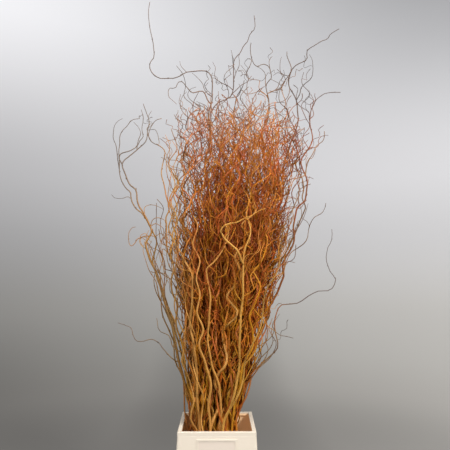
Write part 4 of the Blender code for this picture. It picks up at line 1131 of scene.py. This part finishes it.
def curling(starts, along, outward, lengths, swing, rise, growth, rng):
    """Lines grown step by step along a swinging direction.

    Direction = straight part + swing * (cos of one angle * side + sin of another * over), at length 1.
    The straight part turns from the leaving direction towards the vertical by `rise`.
    """
    leaving = unit(along * math.cos(growth.leave) + outward * math.sin(growth.leave))
    share = np.linspace(0, 1, growth.steps)[None, :, None]
    straight = unit(leaving[:, None] + rise[:, None, None] * share * (0, 0, 1))
    side = unit(np.cross(leaving, (0.31, 0.17, 0.93)))[:, None]
    over = np.cross(leaving, side[:, 0])[:, None]
    phase = rng.uniform(0, 2 * math.pi, (2, len(starts), 1, 1))
    turns = lengths[:, None, None] * share * 2 * math.pi
    first, second = (turns / rng.uniform(*growth.paces, (len(starts), 1, 1)) + phase[k] for k in (0, 1))
    grown = swing[:, None, None] * np.minimum(1, 0.3 + 4 * share)
    way = unit(straight + grown * (np.cos(first) * side + np.sin(second) * over))
    step = way * (lengths / (growth.steps - 1))[:, None, None]
    return starts[:, None] + np.pad(np.cumsum(step[:, 1:], axis=1), ((0, 0), (1, 0), (0, 0)))


# %% The outline that fine wood keeps to
FINE_WOOD_SHIFT = 0.032
FRONT_DEPTH = -0.06
BOX_MARGIN = 0.004


def outside(points, margin):
    """How far points lie outside the bunch's outline at their height, as a share of its radius there.

    The margin widens the outline, less so near the box, and not at all in front, where it would hide the
    drawn forks. Further up the fine wood stands a little further to the right than the stems do. Above
    the outline's last height, points soon count as outside wherever they are.
    """
    height = points[..., 2]
    shift = FINE_WOOD_SHIFT * np.clip((height - 0.45) / 0.35, 0, 1)
    across = points[..., 0] - np.interp(height, BUNCH_HEIGHTS, BUNCH_ACROSS) - shift
    margin = np.where(points[..., 1] < FRONT_DEPTH, 0.0, margin * np.clip(height / 0.7, 0.5, 1.0))
    reach = np.interp(height, BUNCH_HEIGHTS, BUNCH_RADII) + margin
    above = np.clip((height - BUNCH_HEIGHTS[-1]) / 0.15, 0, 2)
    return np.hypot(across, points[..., 1] / DEPTH_SHARE) / reach - 1 + above


def kept(shoots, growth, rng):
    """Leaves out most shoots that pass the bunch's outline, and all that would leave the solids' box."""
    low, high = np.array(cad_box[0]) + BOX_MARGIN, np.array(cad_box[1]) - BOX_MARGIN
    inside = ((shoots.lines > low) & (shoots.lines < high)).all(axis=(1, 2))
    reach = outside(shoots.lines, growth.margin).max(axis=1)
    lucky = rng.random(len(reach)) < growth.strays * np.exp(-3 * np.maximum(reach, 0))
    stays = inside & ((reach < 0) | lucky)
    return Shoots(shoots.lines[stays], shoots.radii[stays], shoots.branches[stays], shoots.sides)

# %% [markdown]
# A real bunch isn't evenly full. There is more wood on its right side than on its left, two thickets stand
# high up, and the light falls through a thin place on the left. So chance decides at each step along a
# parent whether a shoot sprouts there, and the odds depend on the place.

# %% Where shoots sprout
# How much more grows there, the middle across, its width, the middle height, and how tall it is.
THICKETS = (
    (1.5, -0.085, 0.035, 1.31, 0.15),
    (0.7, 0.185, 0.035, 1.30, 0.15),
    (-0.7, -0.155, 0.045, 0.94, 0.18),
)
SPARSEST = 0.1


def crowding(across, height):
    """How much more or less grows at a place: 1 + slope * distance to the right, within limits.

    A thicket adds amount * e^-(how far off it is, in its own widths, squared). The thin place takes away.
    """
    lean = 1 + (across - 0.02) * np.interp(height, (0.4, 1.0), (7.0, 2.6))
    least = np.interp(height, (0.5, 0.9), (1.0, 0.45))
    most = np.interp(height, (0.6, 1.1), (1.7, 1.2))
    return np.clip(lean, least, most) + sum(
        amount * np.exp(-((across - middle) / wide) ** 2 - ((height - centre) / tall) ** 2)
        for amount, middle, wide, centre, tall in THICKETS
    )


def sprouting(parents, growth, amount, rng):
    """Picks places on parent shoots: (shoot, step) numbers, as many to a metre as the growth says."""
    length = parents.run[:, -1:]
    across, height = parents.lines[..., 0], parents.lines[..., 2]
    per_metre = amount * np.interp(height, growth.heights, growth.per_metre)
    share = np.maximum(crowding(across, height), SPARSEST)
    per_step = length / (parents.lines.shape[1] - 1) * per_metre * share
    per_step = per_step * (parents.run >= growth.first * length)
    chosen = rng.random(parents.run.shape) < per_step
    chosen[:, -2:] = False
    return np.nonzero(chosen)


def sprout(parents, growth, amount, rng):
    """New shoots on their parents, each leaving sideways in a direction of its own.

    In the crown they swing up to 1.6 times as far.
    """
    shoot, step = sprouting(parents, growth, amount, rng)
    starts = parents.lines[shoot, step]
    along = parents.along()[shoot, step]
    turn = rng.uniform(0, 2 * math.pi, len(starts))
    flat = np.column_stack([np.cos(turn), np.sin(turn), rng.uniform(-0.2, 0.5, len(starts))])
    left = parents.run[shoot, -1] - parents.run[shoot, step]
    long = np.minimum(rng.uniform(*growth.lengths, len(starts)), 0.05 + growth.of_rest * left)
    crown = np.clip((starts[:, 2] - 1.2) / 0.25, 0, 1)
    swing = rng.uniform(*growth.swings, len(starts)) * (1 + 0.6 * crown)
    rise = rng.uniform(*growth.rises, len(starts))
    lines = curling(starts, along, square_to(along, flat), long, swing, rise, growth, rng)
    base = np.minimum(parents.radii[shoot, step] * growth.of_parent, growth.thickest)
    taper = np.linspace(0, 1, growth.steps)
    radii = base[:, None] * (1 - taper) + growth.tip * taper
    return Shoots(lines, radii, parents.branches[shoot], growth.sides)

# %% Sets of shoots, joined or held in the rim
def joined(sets):
    """Several sets of shoots with the same number of steps as one set."""
    sets = list(sets)
    keys = ("lines", "radii", "branches")
    return Shoots(*(np.concatenate([getattr(part, key) for part in sets]) for key in keys), sets[0].sides)


def held_in_rim(shoots):
    """Draws each line in below the rim, so that nothing passes through the wall of the box."""
    room = RIM_WIDTH / 2 - LIP_WIDTH - 0.006
    low = shoots.lines[..., 2] < HOLDER_HEIGHT + 0.02
    widest = np.abs(np.where(low[..., None], shoots.lines, 0.0)[..., :2]).max(axis=1)
    share = np.minimum(1, room / np.maximum(widest, 1e-9))
    lines = shoots.lines.copy()
    lines[..., :2] = lines[:, :1, :2] + (lines[..., :2] - lines[:, :1, :2]) * share[:, None]
    return Shoots(lines, shoots.radii, shoots.branches, shoots.sides)


# %% Growing the fine wood
rng = np.random.default_rng(SEED + 1)
forks = kept(held_in_rim(sprout(stems, LOW_FORK, 1.0, rng)), LOW_FORK, rng)
print(len(forks.lines), "low forks")
side_shoots = joined(
    kept(sprout(parents, SIDE_SHOOT, amount, rng), SIDE_SHOOT, rng)
    for parents, amount in ((stems, 1.0), (forks, 0.6))
)
twigs = joined(
    kept(sprout(parents, TWIG, amount, rng), TWIG, rng)
    for parents, amount in ((stems, 0.3), (limbs, 0.7), (lace, 0.8), (forks, 0.4), (side_shoots, 0.6))
)
print(len(side_shoots.lines), "more side shoots and", len(twigs.lines), "twigs")

# %% [markdown]
# ## Kinks
#
# Willow doesn't bend like wire. It turns a little at each node and runs nearly straight to the next. A
# kink must not tear a twig from its stem, so it isn't made shoot by shoot. Instead, the space that the
# whole bunch stands in is folded: triangle waves run through it in ten directions, and each pushes
# everything sideways by a millimetre or so. Wood that crosses a crease kinks there, and whatever grows
# together moves together.

# %% Folding the space
FOLDS = 10
FOLD_LENGTHS = (0.045, 0.11)
FOLD_PUSH = 0.030


def folded(points):
    """The points, moved by a sum of triangle waves: push * (2 * distance from a whole number - 0.5)."""
    folds = np.random.default_rng(SEED + 2)
    lengths = folds.uniform(*FOLD_LENGTHS, FOLDS)
    ways = unit(folds.normal(size=(FOLDS, 3)) * (1.0, 1.0, 1.6)) / lengths[:, None]
    pushes = unit(folds.normal(size=(FOLDS, 3)) * (1.0, 1.0, 0.4)) * lengths[:, None] * FOLD_PUSH
    place = points @ ways.T + folds.random(FOLDS)
    wave = 2 * np.abs(place - np.round(place)) - 0.5
    above_rim = np.clip((points[..., 2:] - HOLDER_HEIGHT - 0.02) / 0.05, 0, 1)
    return points + above_rim * (wave @ pushes)


stems, limbs, lace, forks, side_shoots, twigs = (
    Shoots(folded(rank.lines), rank.radii, rank.branches, rank.sides)
    for rank in (stems, limbs, lace, forks, side_shoots, twigs)
)
print("the folds move wood by up to", round(500 * FOLDS * FOLD_LENGTHS[1] * FOLD_PUSH, 1), "mm")

# %% [markdown]
# ## Round wood
#
# A branch is a circle carried along its line. The circle has to stay square to the line without spinning
# round it, or the bark would look wrung. Each circle's first direction is therefore the last one's, laid
# flat against the new direction of growth. Both ends run to a single point, so every tube is closed.

# %% Circles carried along lines
def tube_points(shoots):
    """Centre + radius * (cos of the angle * side + sin of the angle * over), for each step and side."""
    along = shoots.along()
    side = np.empty_like(along)
    side[:, 0] = unit(np.cross(along[:, 0], (0.21, 0.34, 0.12)))
    for step in range(1, along.shape[1]):
        side[:, step] = square_to(along[:, step], side[:, step - 1])
    over = np.cross(along, side)
    angle = np.arange(shoots.sides) * 2 * math.pi / shoots.sides
    ring = np.cos(angle)[:, None] * side[:, :, None] + np.sin(angle)[:, None] * over[:, :, None]
    points = shoots.lines[:, :, None] + shoots.radii[:, :, None, None] * ring
    tips = np.stack([
        shoots.lines[:, 0] - along[:, 0] * shoots.radii[:, :1] * 0.4,
        shoots.lines[:, -1] + along[:, -1] * shoots.radii[:, -1:] * 1.5,
    ], 1)
    return np.concatenate([points.reshape(len(points), -1, 3), tips], axis=1)


def tube_faces(steps, sides):
    """Corner numbers of one tube's triangles: two for each cell of its grid, and a fan at each end."""
    cells = grid_faces(steps, sides, ring=True).reshape(-1, 4)
    column = np.arange(sides)
    following = (column + 1) % sides
    root, tip = steps * sides, steps * sides + 1
    last = (steps - 1) * sides
    return np.vstack([
        cells[:, [0, 1, 2]],
        cells[:, [0, 2, 3]],
        np.column_stack([following, column, np.full(sides, root)]),
        np.column_stack([last + column, last + following, np.full(sides, tip)]),
    ])


def tube_places(steps, sides):
    """Where each triangle's corners lie on the unrolled bark: (along, around), both from 0 to 1.

    The corners come in the order of tube_faces, but the grid has one more column, so the seam stays open.
    """
    cells = grid_faces(steps, sides + 1).reshape(-1, 4)
    corners = np.stack(np.divmod(cells, sides + 1), -1).astype(float)
    side = np.arange(sides)[:, None]
    ends = []
    for row, beyond, order in ((0, -0.5, (1, 0)), (steps - 1, 0.5, (0, 1))):
        across = np.hstack([side + order[0], side + order[1], side + 0.5])
        ends.append(np.stack([np.full((sides, 3), row) + (0, 0, beyond), across], -1))
    places = np.concatenate([corners[:, [0, 1, 2]], corners[:, [0, 2, 3]], *ends])
    return (places + (0.5, 0)) / (steps, sides)

# %% [markdown]
# ## Buds
#
# Winter buds sit at the nodes of a shoot, five centimetres apart, on one side and then the other, pressed
# flat to the wood. A bud is a tube like the others, only three steps long: it swells, narrows and ends in a
# point. With eighteen faces each, thousands of them cost less than the twigs do. The grown side shoots are
# so many that only every other node of theirs bears one.

# %% Buds along the shoots
NODE_SPACING = 0.050
LOWEST_BUD = 0.46
BUD_RISES = (-0.4, 1.4, 4.2)
BUD_LIFTS = (0.2, 0.70, 0.55)
BUD_RADII = (0.60, 0.95, 0.20)


def buds_on(parents, size, nodes):
    """A bud after every so many nodes of a shoot, each turned on from the last by the golden angle."""
    length = parents.run[:, -1:]
    spacing = nodes * NODE_SPACING
    count = np.arange(1, int(length.max() / spacing) + 1)
    shoot, number = np.nonzero(count * spacing < length - 0.006)
    at = count[number] * spacing / length[shoot, 0] * (parents.lines.shape[1] - 1)
    step = at.astype(int)
    share = (at - step)[:, None]
    here = parents.lines[shoot, step] * (1 - share) + parents.lines[shoot, step + 1] * share
    high = here[:, 2] > LOWEST_BUD
    shoot, step, number, here = shoot[high], step[high], number[high], here[high]
    along = parents.along()[shoot, step]
    thick = parents.radii[shoot, step]
    turn = number * GOLDEN_TURN + shoot
    flat = np.column_stack([np.cos(turn), np.sin(turn), 0.1 + 0 * turn])
    outward = square_to(along, flat)
    width = np.minimum(size, 0.35 * size + 0.45 * thick)
    rise, lift = (np.array(parts)[None, :, None] * width[:, None, None] for parts in (BUD_RISES, BUD_LIFTS))
    lines = here[:, None] + along[:, None] * rise + outward[:, None] * (thick[:, None, None] * 0.85 + lift)
    radii = width[:, None] * np.array(BUD_RADII)
    return Shoots(lines, radii, parents.branches[shoot], sides=3)


buds = joined(buds_on(parents, size, nodes) for parents, size, nodes in (
    (stems, 0.0018, 1), (limbs, 0.0016, 1), (forks, 0.0016, 1), (side_shoots, 0.0014, 2), (lace, 0.0013, 1),
))
print(len(buds.lines), "buds")

# %% [markdown]
# ## What the bark has to know
#
# The bark's colour depends on the wood under it. Old wood near the foot is golden, younger wood is amber
# and russet, and this year's twigs are a dusky red-brown. Tips that stick out of the bunch, and the crown,
# are painted darker and greyer: dried wood, and painted shade of twigs seen against the light. A few stems
# are of a paler, yellower kind. So each point of the mesh carries a few values for the material to read:
# how old the wood is, a tint that belongs to its shoot, how much painted shade and fading it gets, and its
# place on the bark as (cos of the angle, sin of the angle, metres along), which has no seam.

# %% How much painted shade and fading the wood gets
def shade_and_fade(shoots, thickness, late):
    """How much painted shade and fading the wood gets at each step, from 0 to 1.

    It grows outwards across the bunch's outline, except on the foot and the loops on the left. It also
    grows upwards in the crown, where it starts `late` metres higher, and high up on the far left.
    """
    # painted shade: twigs at the outline and in the crown are painted darker and greyer, as twigs seen
    # against the light
    across, height = shoots.lines[..., 0], shoots.lines[..., 2]
    beyond = outside(shoots.lines * (1.0, 0.5, 1.0), 0.0)
    edge = 0.75 * np.clip(3.0 * beyond, 0, 1) + 0.25 * np.clip(2.5 * beyond - 0.9, 0, 1)
    low_edge = np.clip((height - 0.40) / 0.55, 0.25, 1)
    edge = edge * np.maximum(low_edge, np.clip(3.0 * beyond - 0.3, 0, 1))
    spared = ((across + 0.24) / 0.08) ** 2 + ((height - 0.95) / 0.20) ** 2
    edge = edge * (1 - 0.9 * np.exp(-spared))
    left_high = np.clip((-0.18 - across) / 0.03, 0, 1) * np.clip((height - 1.05) / 0.12, 0, 1)
    warm_column = 0.05 * np.exp(-((across - 0.17) / 0.05) ** 2)
    crown = np.clip((height - 1.24 - late - warm_column) / 0.26, 0, 1)
    weather = np.maximum(np.maximum(edge, 0.88 * left_high), 0.85 * crown)
    return np.clip(weather * (1.15 - 0.3 * thickness), 0, 1)

# %% Values stored on the points
PALE_STEMS = ("front_fork", "left_bright", "middle_bright", "middle_low")
PALE_RADIUS = 0.0022


def wood_values(shoots, late, rng):
    """For each point of the tubes: age, tint, painted shade and fading, and place on the bark.

    Age = 0.6 * square root of the thickness against the thickest stem, and 0.4 * how low the wood stands.
    Painted shade and fading start up to `late` metres higher on some shoots than on others. A tint of 1 is
    pale wood.
    """
    thickness = np.sqrt(np.clip(shoots.radii / STEM_RADII[1], 0, 1))
    low = np.clip(1 - (shoots.lines[..., 2] - HOLDER_HEIGHT) / 1.2, 0, 1)
    pale = np.isin(np.array(branch_names)[shoots.branches], PALE_STEMS) & (shoots.radii[:, 0] > PALE_RADIUS)
    own = rng.random(len(thickness))
    tint = np.where(pale, 1.0, own)[:, None] + 0 * thickness
    weather = shade_and_fade(shoots, thickness, late * own[:, None])
    angle = np.tile(np.arange(shoots.sides) * 2 * math.pi / shoots.sides, shoots.lines.shape[1])
    run = np.repeat(shoots.run, shoots.sides, axis=1)
    place = np.stack([np.cos(angle) + 0 * run, np.sin(angle) + 0 * run, run], -1)
    tips = np.pad(shoots.run[:, [0, -1], None], ((0, 0), (0, 0), (2, 0)))
    age = 0.6 * thickness + 0.4 * low
    values = (np.repeat(value, shoots.sides, axis=1) for value in (age, tint, weather))
    return *(np.hstack([value, value[:, [0, -1]]]) for value in values), np.hstack([place, tips])

# %% Every rank of wood, ready for meshes
class Wood:
    """One rank of shoots, ready for meshes: its points, its values, and its strips on the unrolled bark.

    `across` strips lie side by side in a row of the sheet, and a row is `tall` parts high.
    """

    def __init__(self, shoots, across, tall, late, rng):
        self.shoots = shoots
        self.points = tube_points(shoots)
        self.values = wood_values(shoots, late, rng)
        self.faces = tube_faces(shoots.lines.shape[1], shoots.sides)
        self.places = tube_places(shoots.lines.shape[1], shoots.sides)
        self.across = across
        self.tall = tall

    def of_branch(self, branch):
        """Which of the shoots belong to that branch."""
        return np.nonzero(self.shoots.branches == branch)[0]


ranks = [
    Wood(stems, across=1, tall=12, late=0.0, rng=rng),
    Wood(limbs, across=3, tall=5, late=0.0, rng=rng),
    Wood(lace, across=4, tall=4, late=0.10, rng=rng),
    Wood(forks, across=2, tall=8, late=0.17, rng=rng),
    Wood(side_shoots, across=4, tall=4, late=0.17, rng=rng),
    Wood(twigs, across=10, tall=2, late=0.17, rng=rng),
    Wood(buds, across=24, tall=2, late=0.17, rng=rng),
]
print(sum(wood.points.size // 3 for wood in ranks), "points in", len(ranks), "ranks of wood")

# %% [markdown]
# ## The unrolled bark
#
# To paint bark on a branch, it has to be unrolled onto a flat sheet. Each tube becomes a strip, and the
# strips lie in rows like planks: the stem fills the first row, and the shorter shoots share the rows
# below it. No strip overlaps another, so a picture painted on the sheet fits every shoot.

# %% One mesh for each branch
STRIP_EDGE = 0.02


def branch_piece(branch, name):
    """Joins all tubes of one branch, with their values and their strips on the sheet, into one object."""
    points, faces, strips, values = [], [], [], ([], [], [], [])
    rows = [math.ceil(len(wood.of_branch(branch)) / wood.across) * wood.tall for wood in ranks]
    first, below = 0, 0.0
    for wood, height in zip(ranks, rows):
        chosen = wood.of_branch(branch)
        number = np.arange(len(chosen))
        each = wood.points.shape[1]
        points.append(wood.points[chosen].reshape(-1, 3))
        faces.append((first + number[:, None, None] * each + wood.faces).reshape(-1, 3))
        row, column = np.divmod(number, wood.across)
        corner = np.column_stack([column / wood.across, (below + row * wood.tall) / sum(rows)])
        size = np.array([1 / wood.across, wood.tall / sum(rows)])
        inset = STRIP_EDGE + (1 - 2 * STRIP_EDGE) * wood.places
        strips.append((corner[:, None, None] + size * inset).reshape(-1, 2))
        for store, value in zip(values, wood.values):
            store.append(value[chosen].reshape(-1, *value.shape[2:]))
        first += len(chosen) * each
        below += height
    piece = mesh_object(name, np.vstack(points), np.vstack(faces).tolist())
    piece.data.uv_layers.new(name="OFBake").uv.foreach_set("vector", np.vstack(strips).ravel())
    for key, store in zip(("age", "tint", "weather"), values):
        piece.data.attributes.new(key, "FLOAT", "POINT").data.foreach_set("value", np.concatenate(store))
    place = piece.data.attributes.new("bark", "FLOAT_VECTOR", "POINT")
    place.data.foreach_set("vector", np.vstack(values[3]).ravel())
    return piece


# %% [markdown]
# ## Bark
#
# Willow bark is thin and smooth, with a dull shine. Fine cracks run lengthwise, pale pores dot the older
# wood, and a darker ring marks each leaf scar. The three barks share one recipe and differ in their
# colours: a bunch is never cut from one tree.

# %% Live colour, and colour with painted shade and fading
RIPENESS_STOPS = (0.08, 0.36, 0.62, 0.92)


def live_colour(finish, spot, across, high, age, tint, colours):
    """It follows ripeness = age + patches + tint through four colours, youngest first.

    Pale stems are yellower, and the left side is painted yellower as painted light. The right side and some
    clouds get painted shade, and some young shoots are darker.
    """
    patches = finish.noise(spot, 11.0, detail=2.0)
    ripeness = (age + (patches - 0.5) * 0.60 + (tint - 0.5) * 0.45).clamped()
    colour = finish.ramp(ripeness, tuple(zip(RIPENESS_STOPS, colours)))
    pale = tint.between(0.86, 0.98) * (1 - high.between(1.02, 1.20))
    # painted light: the left side of the bunch is painted yellower in patches, as if lit from there
    left = (-across).between(0.05, 0.15) * patches.between(0.30, 0.55)
    for share, yellow in ((pale * 0.48, (0.76, 0.43, 0.12)), (left * 0.50, (0.42, 0.29, 0.10))):
        colour = finish.blend(share, colour, yellow)
    # painted shade: the right side of the bunch is darker, and so are cloudy patches
    right = across.between(0.17, 0.30)
    shade_clouds = finish.noise(spot, 5.5, detail=1.0).between(0.50, 0.66)
    young = (1 - tint.between(0.16, 0.34)) * (1 - age.between(0.45, 0.80))
    for share, shade in (
        (right * 0.55, (0.50, 0.46, 0.48)),
        (shade_clouds * 0.28, (0.62, 0.42, 0.36)),
        (young * 0.75, (0.34, 0.27, 0.25)),
    ):
        colour = finish.blend(share, colour, shade, "MULTIPLY")
    return colour


def shaded_faded_colour(finish, across, high, weather):
    """Wood with painted shade and fading: straw low down, grey in the crown and where it is strongest,
    painted darker on the right.
    """
    shaded_and_faded = finish.ramp(high / 2.0, (
        (0.30, (0.28, 0.17, 0.055)), (0.47, (0.25, 0.155, 0.075)), (0.58, (0.20, 0.135, 0.085)),
        (0.66, (0.18, 0.135, 0.100)), (0.80, (0.125, 0.108, 0.094)),
    ))
    shaded_and_faded = finish.blend(weather.between(0.74, 0.96), shaded_and_faded, (0.14, 0.115, 0.098))
    # painted shade: this wood is darker on the right side of the bunch
    return finish.blend(across.between(0.10, 0.26) * 0.85, shaded_and_faded, (0.50, 0.48, 0.46), "MULTIPLY")


# %% The recipe for bark
def bark(name, *colours):
    """A bark of four colours, youngest first, with cracks, stains and pores, and painted shade and fading
    where it is stored.
    """
    finish = Finish(name)
    age, tint, weather = (finish.attribute(key) for key in ("age", "tint", "weather"))
    place = finish.attribute("bark", vector=True)
    spot = finish.node("ShaderNodeTexCoord", {}, out=OBJECT_PLACE)
    across, high = (finish.node("ShaderNodeSeparateXYZ", {}, spot, out=axis) for axis in (0, 2))
    colour = live_colour(finish, spot, across, high, age, tint, colours)
    streaks = finish.noise(finish.stretched(place, (1.4, 1.4, 40.0)), 2.6, detail=4.0, roughness=0.6)
    grain = streaks.between(0.36, 0.68)
    colour = finish.blend(grain * 0.55, colour, (0.52, 0.42, 0.34), "MULTIPLY")
    stains = finish.noise(finish.stretched(place, (0.6, 0.6, 14.0)), 1.7, detail=2.0).between(0.52, 0.74)
    colour = finish.blend(stains * age * 0.35, colour, (0.44, 0.29, 0.10))
    pores = finish.node(
        "ShaderNodeTexVoronoi", {}, Vector=finish.stretched(place, (1.0, 1.0, 190.0)), Scale=1.9
    )
    pore = (1 - pores.between(0.12, 0.22)) * age.between(0.45, 0.75)
    colour = finish.blend(pore * 0.40, colour, (0.56, 0.35, 0.14))
    # painted shade and fading: wood at the outline and in the crown turns darker and greyer
    shaded_and_faded = shaded_faded_colour(finish, across, high, weather)
    colour = finish.blend((weather * 1.25).clamped() * 0.90, colour, shaded_and_faded)
    along = finish.node("ShaderNodeSeparateXYZ", {}, place, out=2)
    nearest = finish.node("ShaderNodeMath", {"operation": "PINGPONG"}, along, NODE_SPACING / 2)
    scar = (1 - nearest.between(0.0004, 0.0016)) * (1 - age.between(0.35, 0.70))
    colour = finish.blend(scar * 0.45, colour, (0.30, 0.20, 0.16), "MULTIPLY")
    relief = grain * -0.6 + pore * 0.5 + scar * 0.7
    return finish.finish(
        Base_Color=colour,
        Roughness=0.42 + grain * 0.20 + tint * 0.08,
        Specular_IOR_Level=0.30,
        Normal=finish.bump(relief, 0.0005, 0.6),
    )


BARK_COLOURS = {
    "golden": ((0.55, 0.245, 0.092), (0.73, 0.260, 0.028), (0.66, 0.260, 0.008), (0.46, 0.215, 0.008)),
    "amber": ((0.53, 0.205, 0.088), (0.70, 0.190, 0.024), (0.62, 0.190, 0.008), (0.42, 0.150, 0.008)),
    "russet": ((0.42, 0.135, 0.070), (0.57, 0.120, 0.026), (0.49, 0.115, 0.010), (0.33, 0.092, 0.008)),
}
barks = {name + "_bark": bark(name + " bark", *colours) for name, colours in BARK_COLOURS.items()}
print(len(barks), "barks of", len(barks["golden_bark"].node_tree.nodes), "nodes each")

# %% Dress every branch
CHOSEN_BARKS = {"left_loop": "amber_bark", "right_bright": "golden_bark"}

faces = 0
for branch, name in enumerate(branch_names):
    piece = branch_piece(branch, "willow_" + name)
    slot = CHOSEN_BARKS.get(name, list(barks)[branch % len(barks)])
    piece.data.materials.append(barks[slot])
    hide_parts("branch_" + name)
    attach(piece, "root")
    faces += len(piece.data.polygons)
print(len(branch_names), "branches,", faces, "triangles")

# %% [markdown]
# ## The box
#
# The holder is moulded from off-white plastic, tapered so that boxes stack, with a stiffening band round
# its rim. The solid already has its true shape, so it stays, and it only needs a finish: a warm white
# that has yellowed a little, scuffs from being stacked, and dust where a hand never wipes. Its inside is
# painted with warm light, as if bounced up from the willow, and glows a little, most towards the right,
# so it is warmer than the outside and never quite dark.

# %% Masks on the box
WALL_GLOW_HEIGHTS = (HOLDER_HEIGHT - 0.006, HOLDER_HEIGHT - 0.001)


def inner_walls(across, deep, height):
    """1 on the inner faces: how far inside the outer face a point lies, against the wall's thickness."""
    wide = across.larger(-across).larger(deep.larger(-deep))
    half = FOOT_WIDTH / 2 - height * ((FOOT_WIDTH - RIM_WIDTH) / 2 / HOLDER_HEIGHT)
    below_rim = 1 - height.between(*WALL_GLOW_HEIGHTS)
    return (half - wide).between(WALL * 0.3, WALL * 0.9) * below_rim


def label_panel(across, deep, height):
    """1 on the front wall inside the label frame: the product of a soft step for each of its edges."""
    top = HOLDER_HEIGHT - FRAME_BELOW_RIM - FRAME_BORDER
    foot = top - FRAME_HEIGHT + 2 * FRAME_BORDER
    panel = (-deep).between(0.10, 0.11)
    for within in (FRAME_WIDTH / 2 - FRAME_BORDER - across.larger(-across), top - height, height - foot):
        panel = panel * within.between(0.0, 0.001)
    return panel


# %% Moulded plastic
def moulded_plastic():
    """Off-white plastic: cloudy yellowing, sideways scuffs, dust near the foot, a fine moulded grain, and a
    painted warm glow inside.
    """
    finish = Finish("off-white plastic")
    spot = finish.node("ShaderNodeTexCoord", {}, out=OBJECT_PLACE)
    clouds = finish.noise(spot, 6.0, detail=3.0)
    colour = finish.blend(clouds, (0.775, 0.705, 0.605), (0.735, 0.655, 0.545))
    scuffs = finish.noise(finish.stretched(spot, (4.0, 4.0, 60.0)), 7.0, detail=5.0, roughness=0.65)
    scuff = scuffs.between(0.60, 0.72)
    colour = finish.blend(scuff * 0.30, colour, (0.62, 0.55, 0.47))
    across, deep, height = (finish.node("ShaderNodeSeparateXYZ", {}, spot, out=axis) for axis in range(3))
    dust = (1 - height.between(0.0, 0.09)) * clouds.between(0.35, 0.65)
    colour = finish.blend(dust * 0.35, colour, (0.50, 0.43, 0.35))
    inner = inner_walls(across, deep, height)
    # painted light: the inner walls are painted warm, as light bounced from the willow
    colour = finish.blend(inner * (0.70 + clouds * 0.25), colour, (1.0, 0.70, 0.40))
    colour = finish.blend(label_panel(across, deep, height) * 0.55, colour, (0.70, 0.60, 0.53))
    # painted light: the inner walls glow, most towards the right, though they are no lamp
    painted_glow = finish.blend(inner * across.between(-0.06, 0.12), (0.02, 0.012, 0.006), (0.22, 0.135, 0.070))
    grain = finish.noise(spot, 1400.0, detail=2.0)
    return finish.finish(
        Base_Color=colour,
        Roughness=0.36 + scuff * 0.2 + clouds * 0.08,
        Normal=finish.bump(grain * 0.6 + scuff * -0.4, 0.0001, 0.5),
        Emission_Color=painted_glow,
        Emission_Strength=0.42,
    )


plastic = moulded_plastic()
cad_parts["box_holder"].material_slots[0].material = plastic
print("plastic of", len(plastic.node_tree.nodes), "nodes")
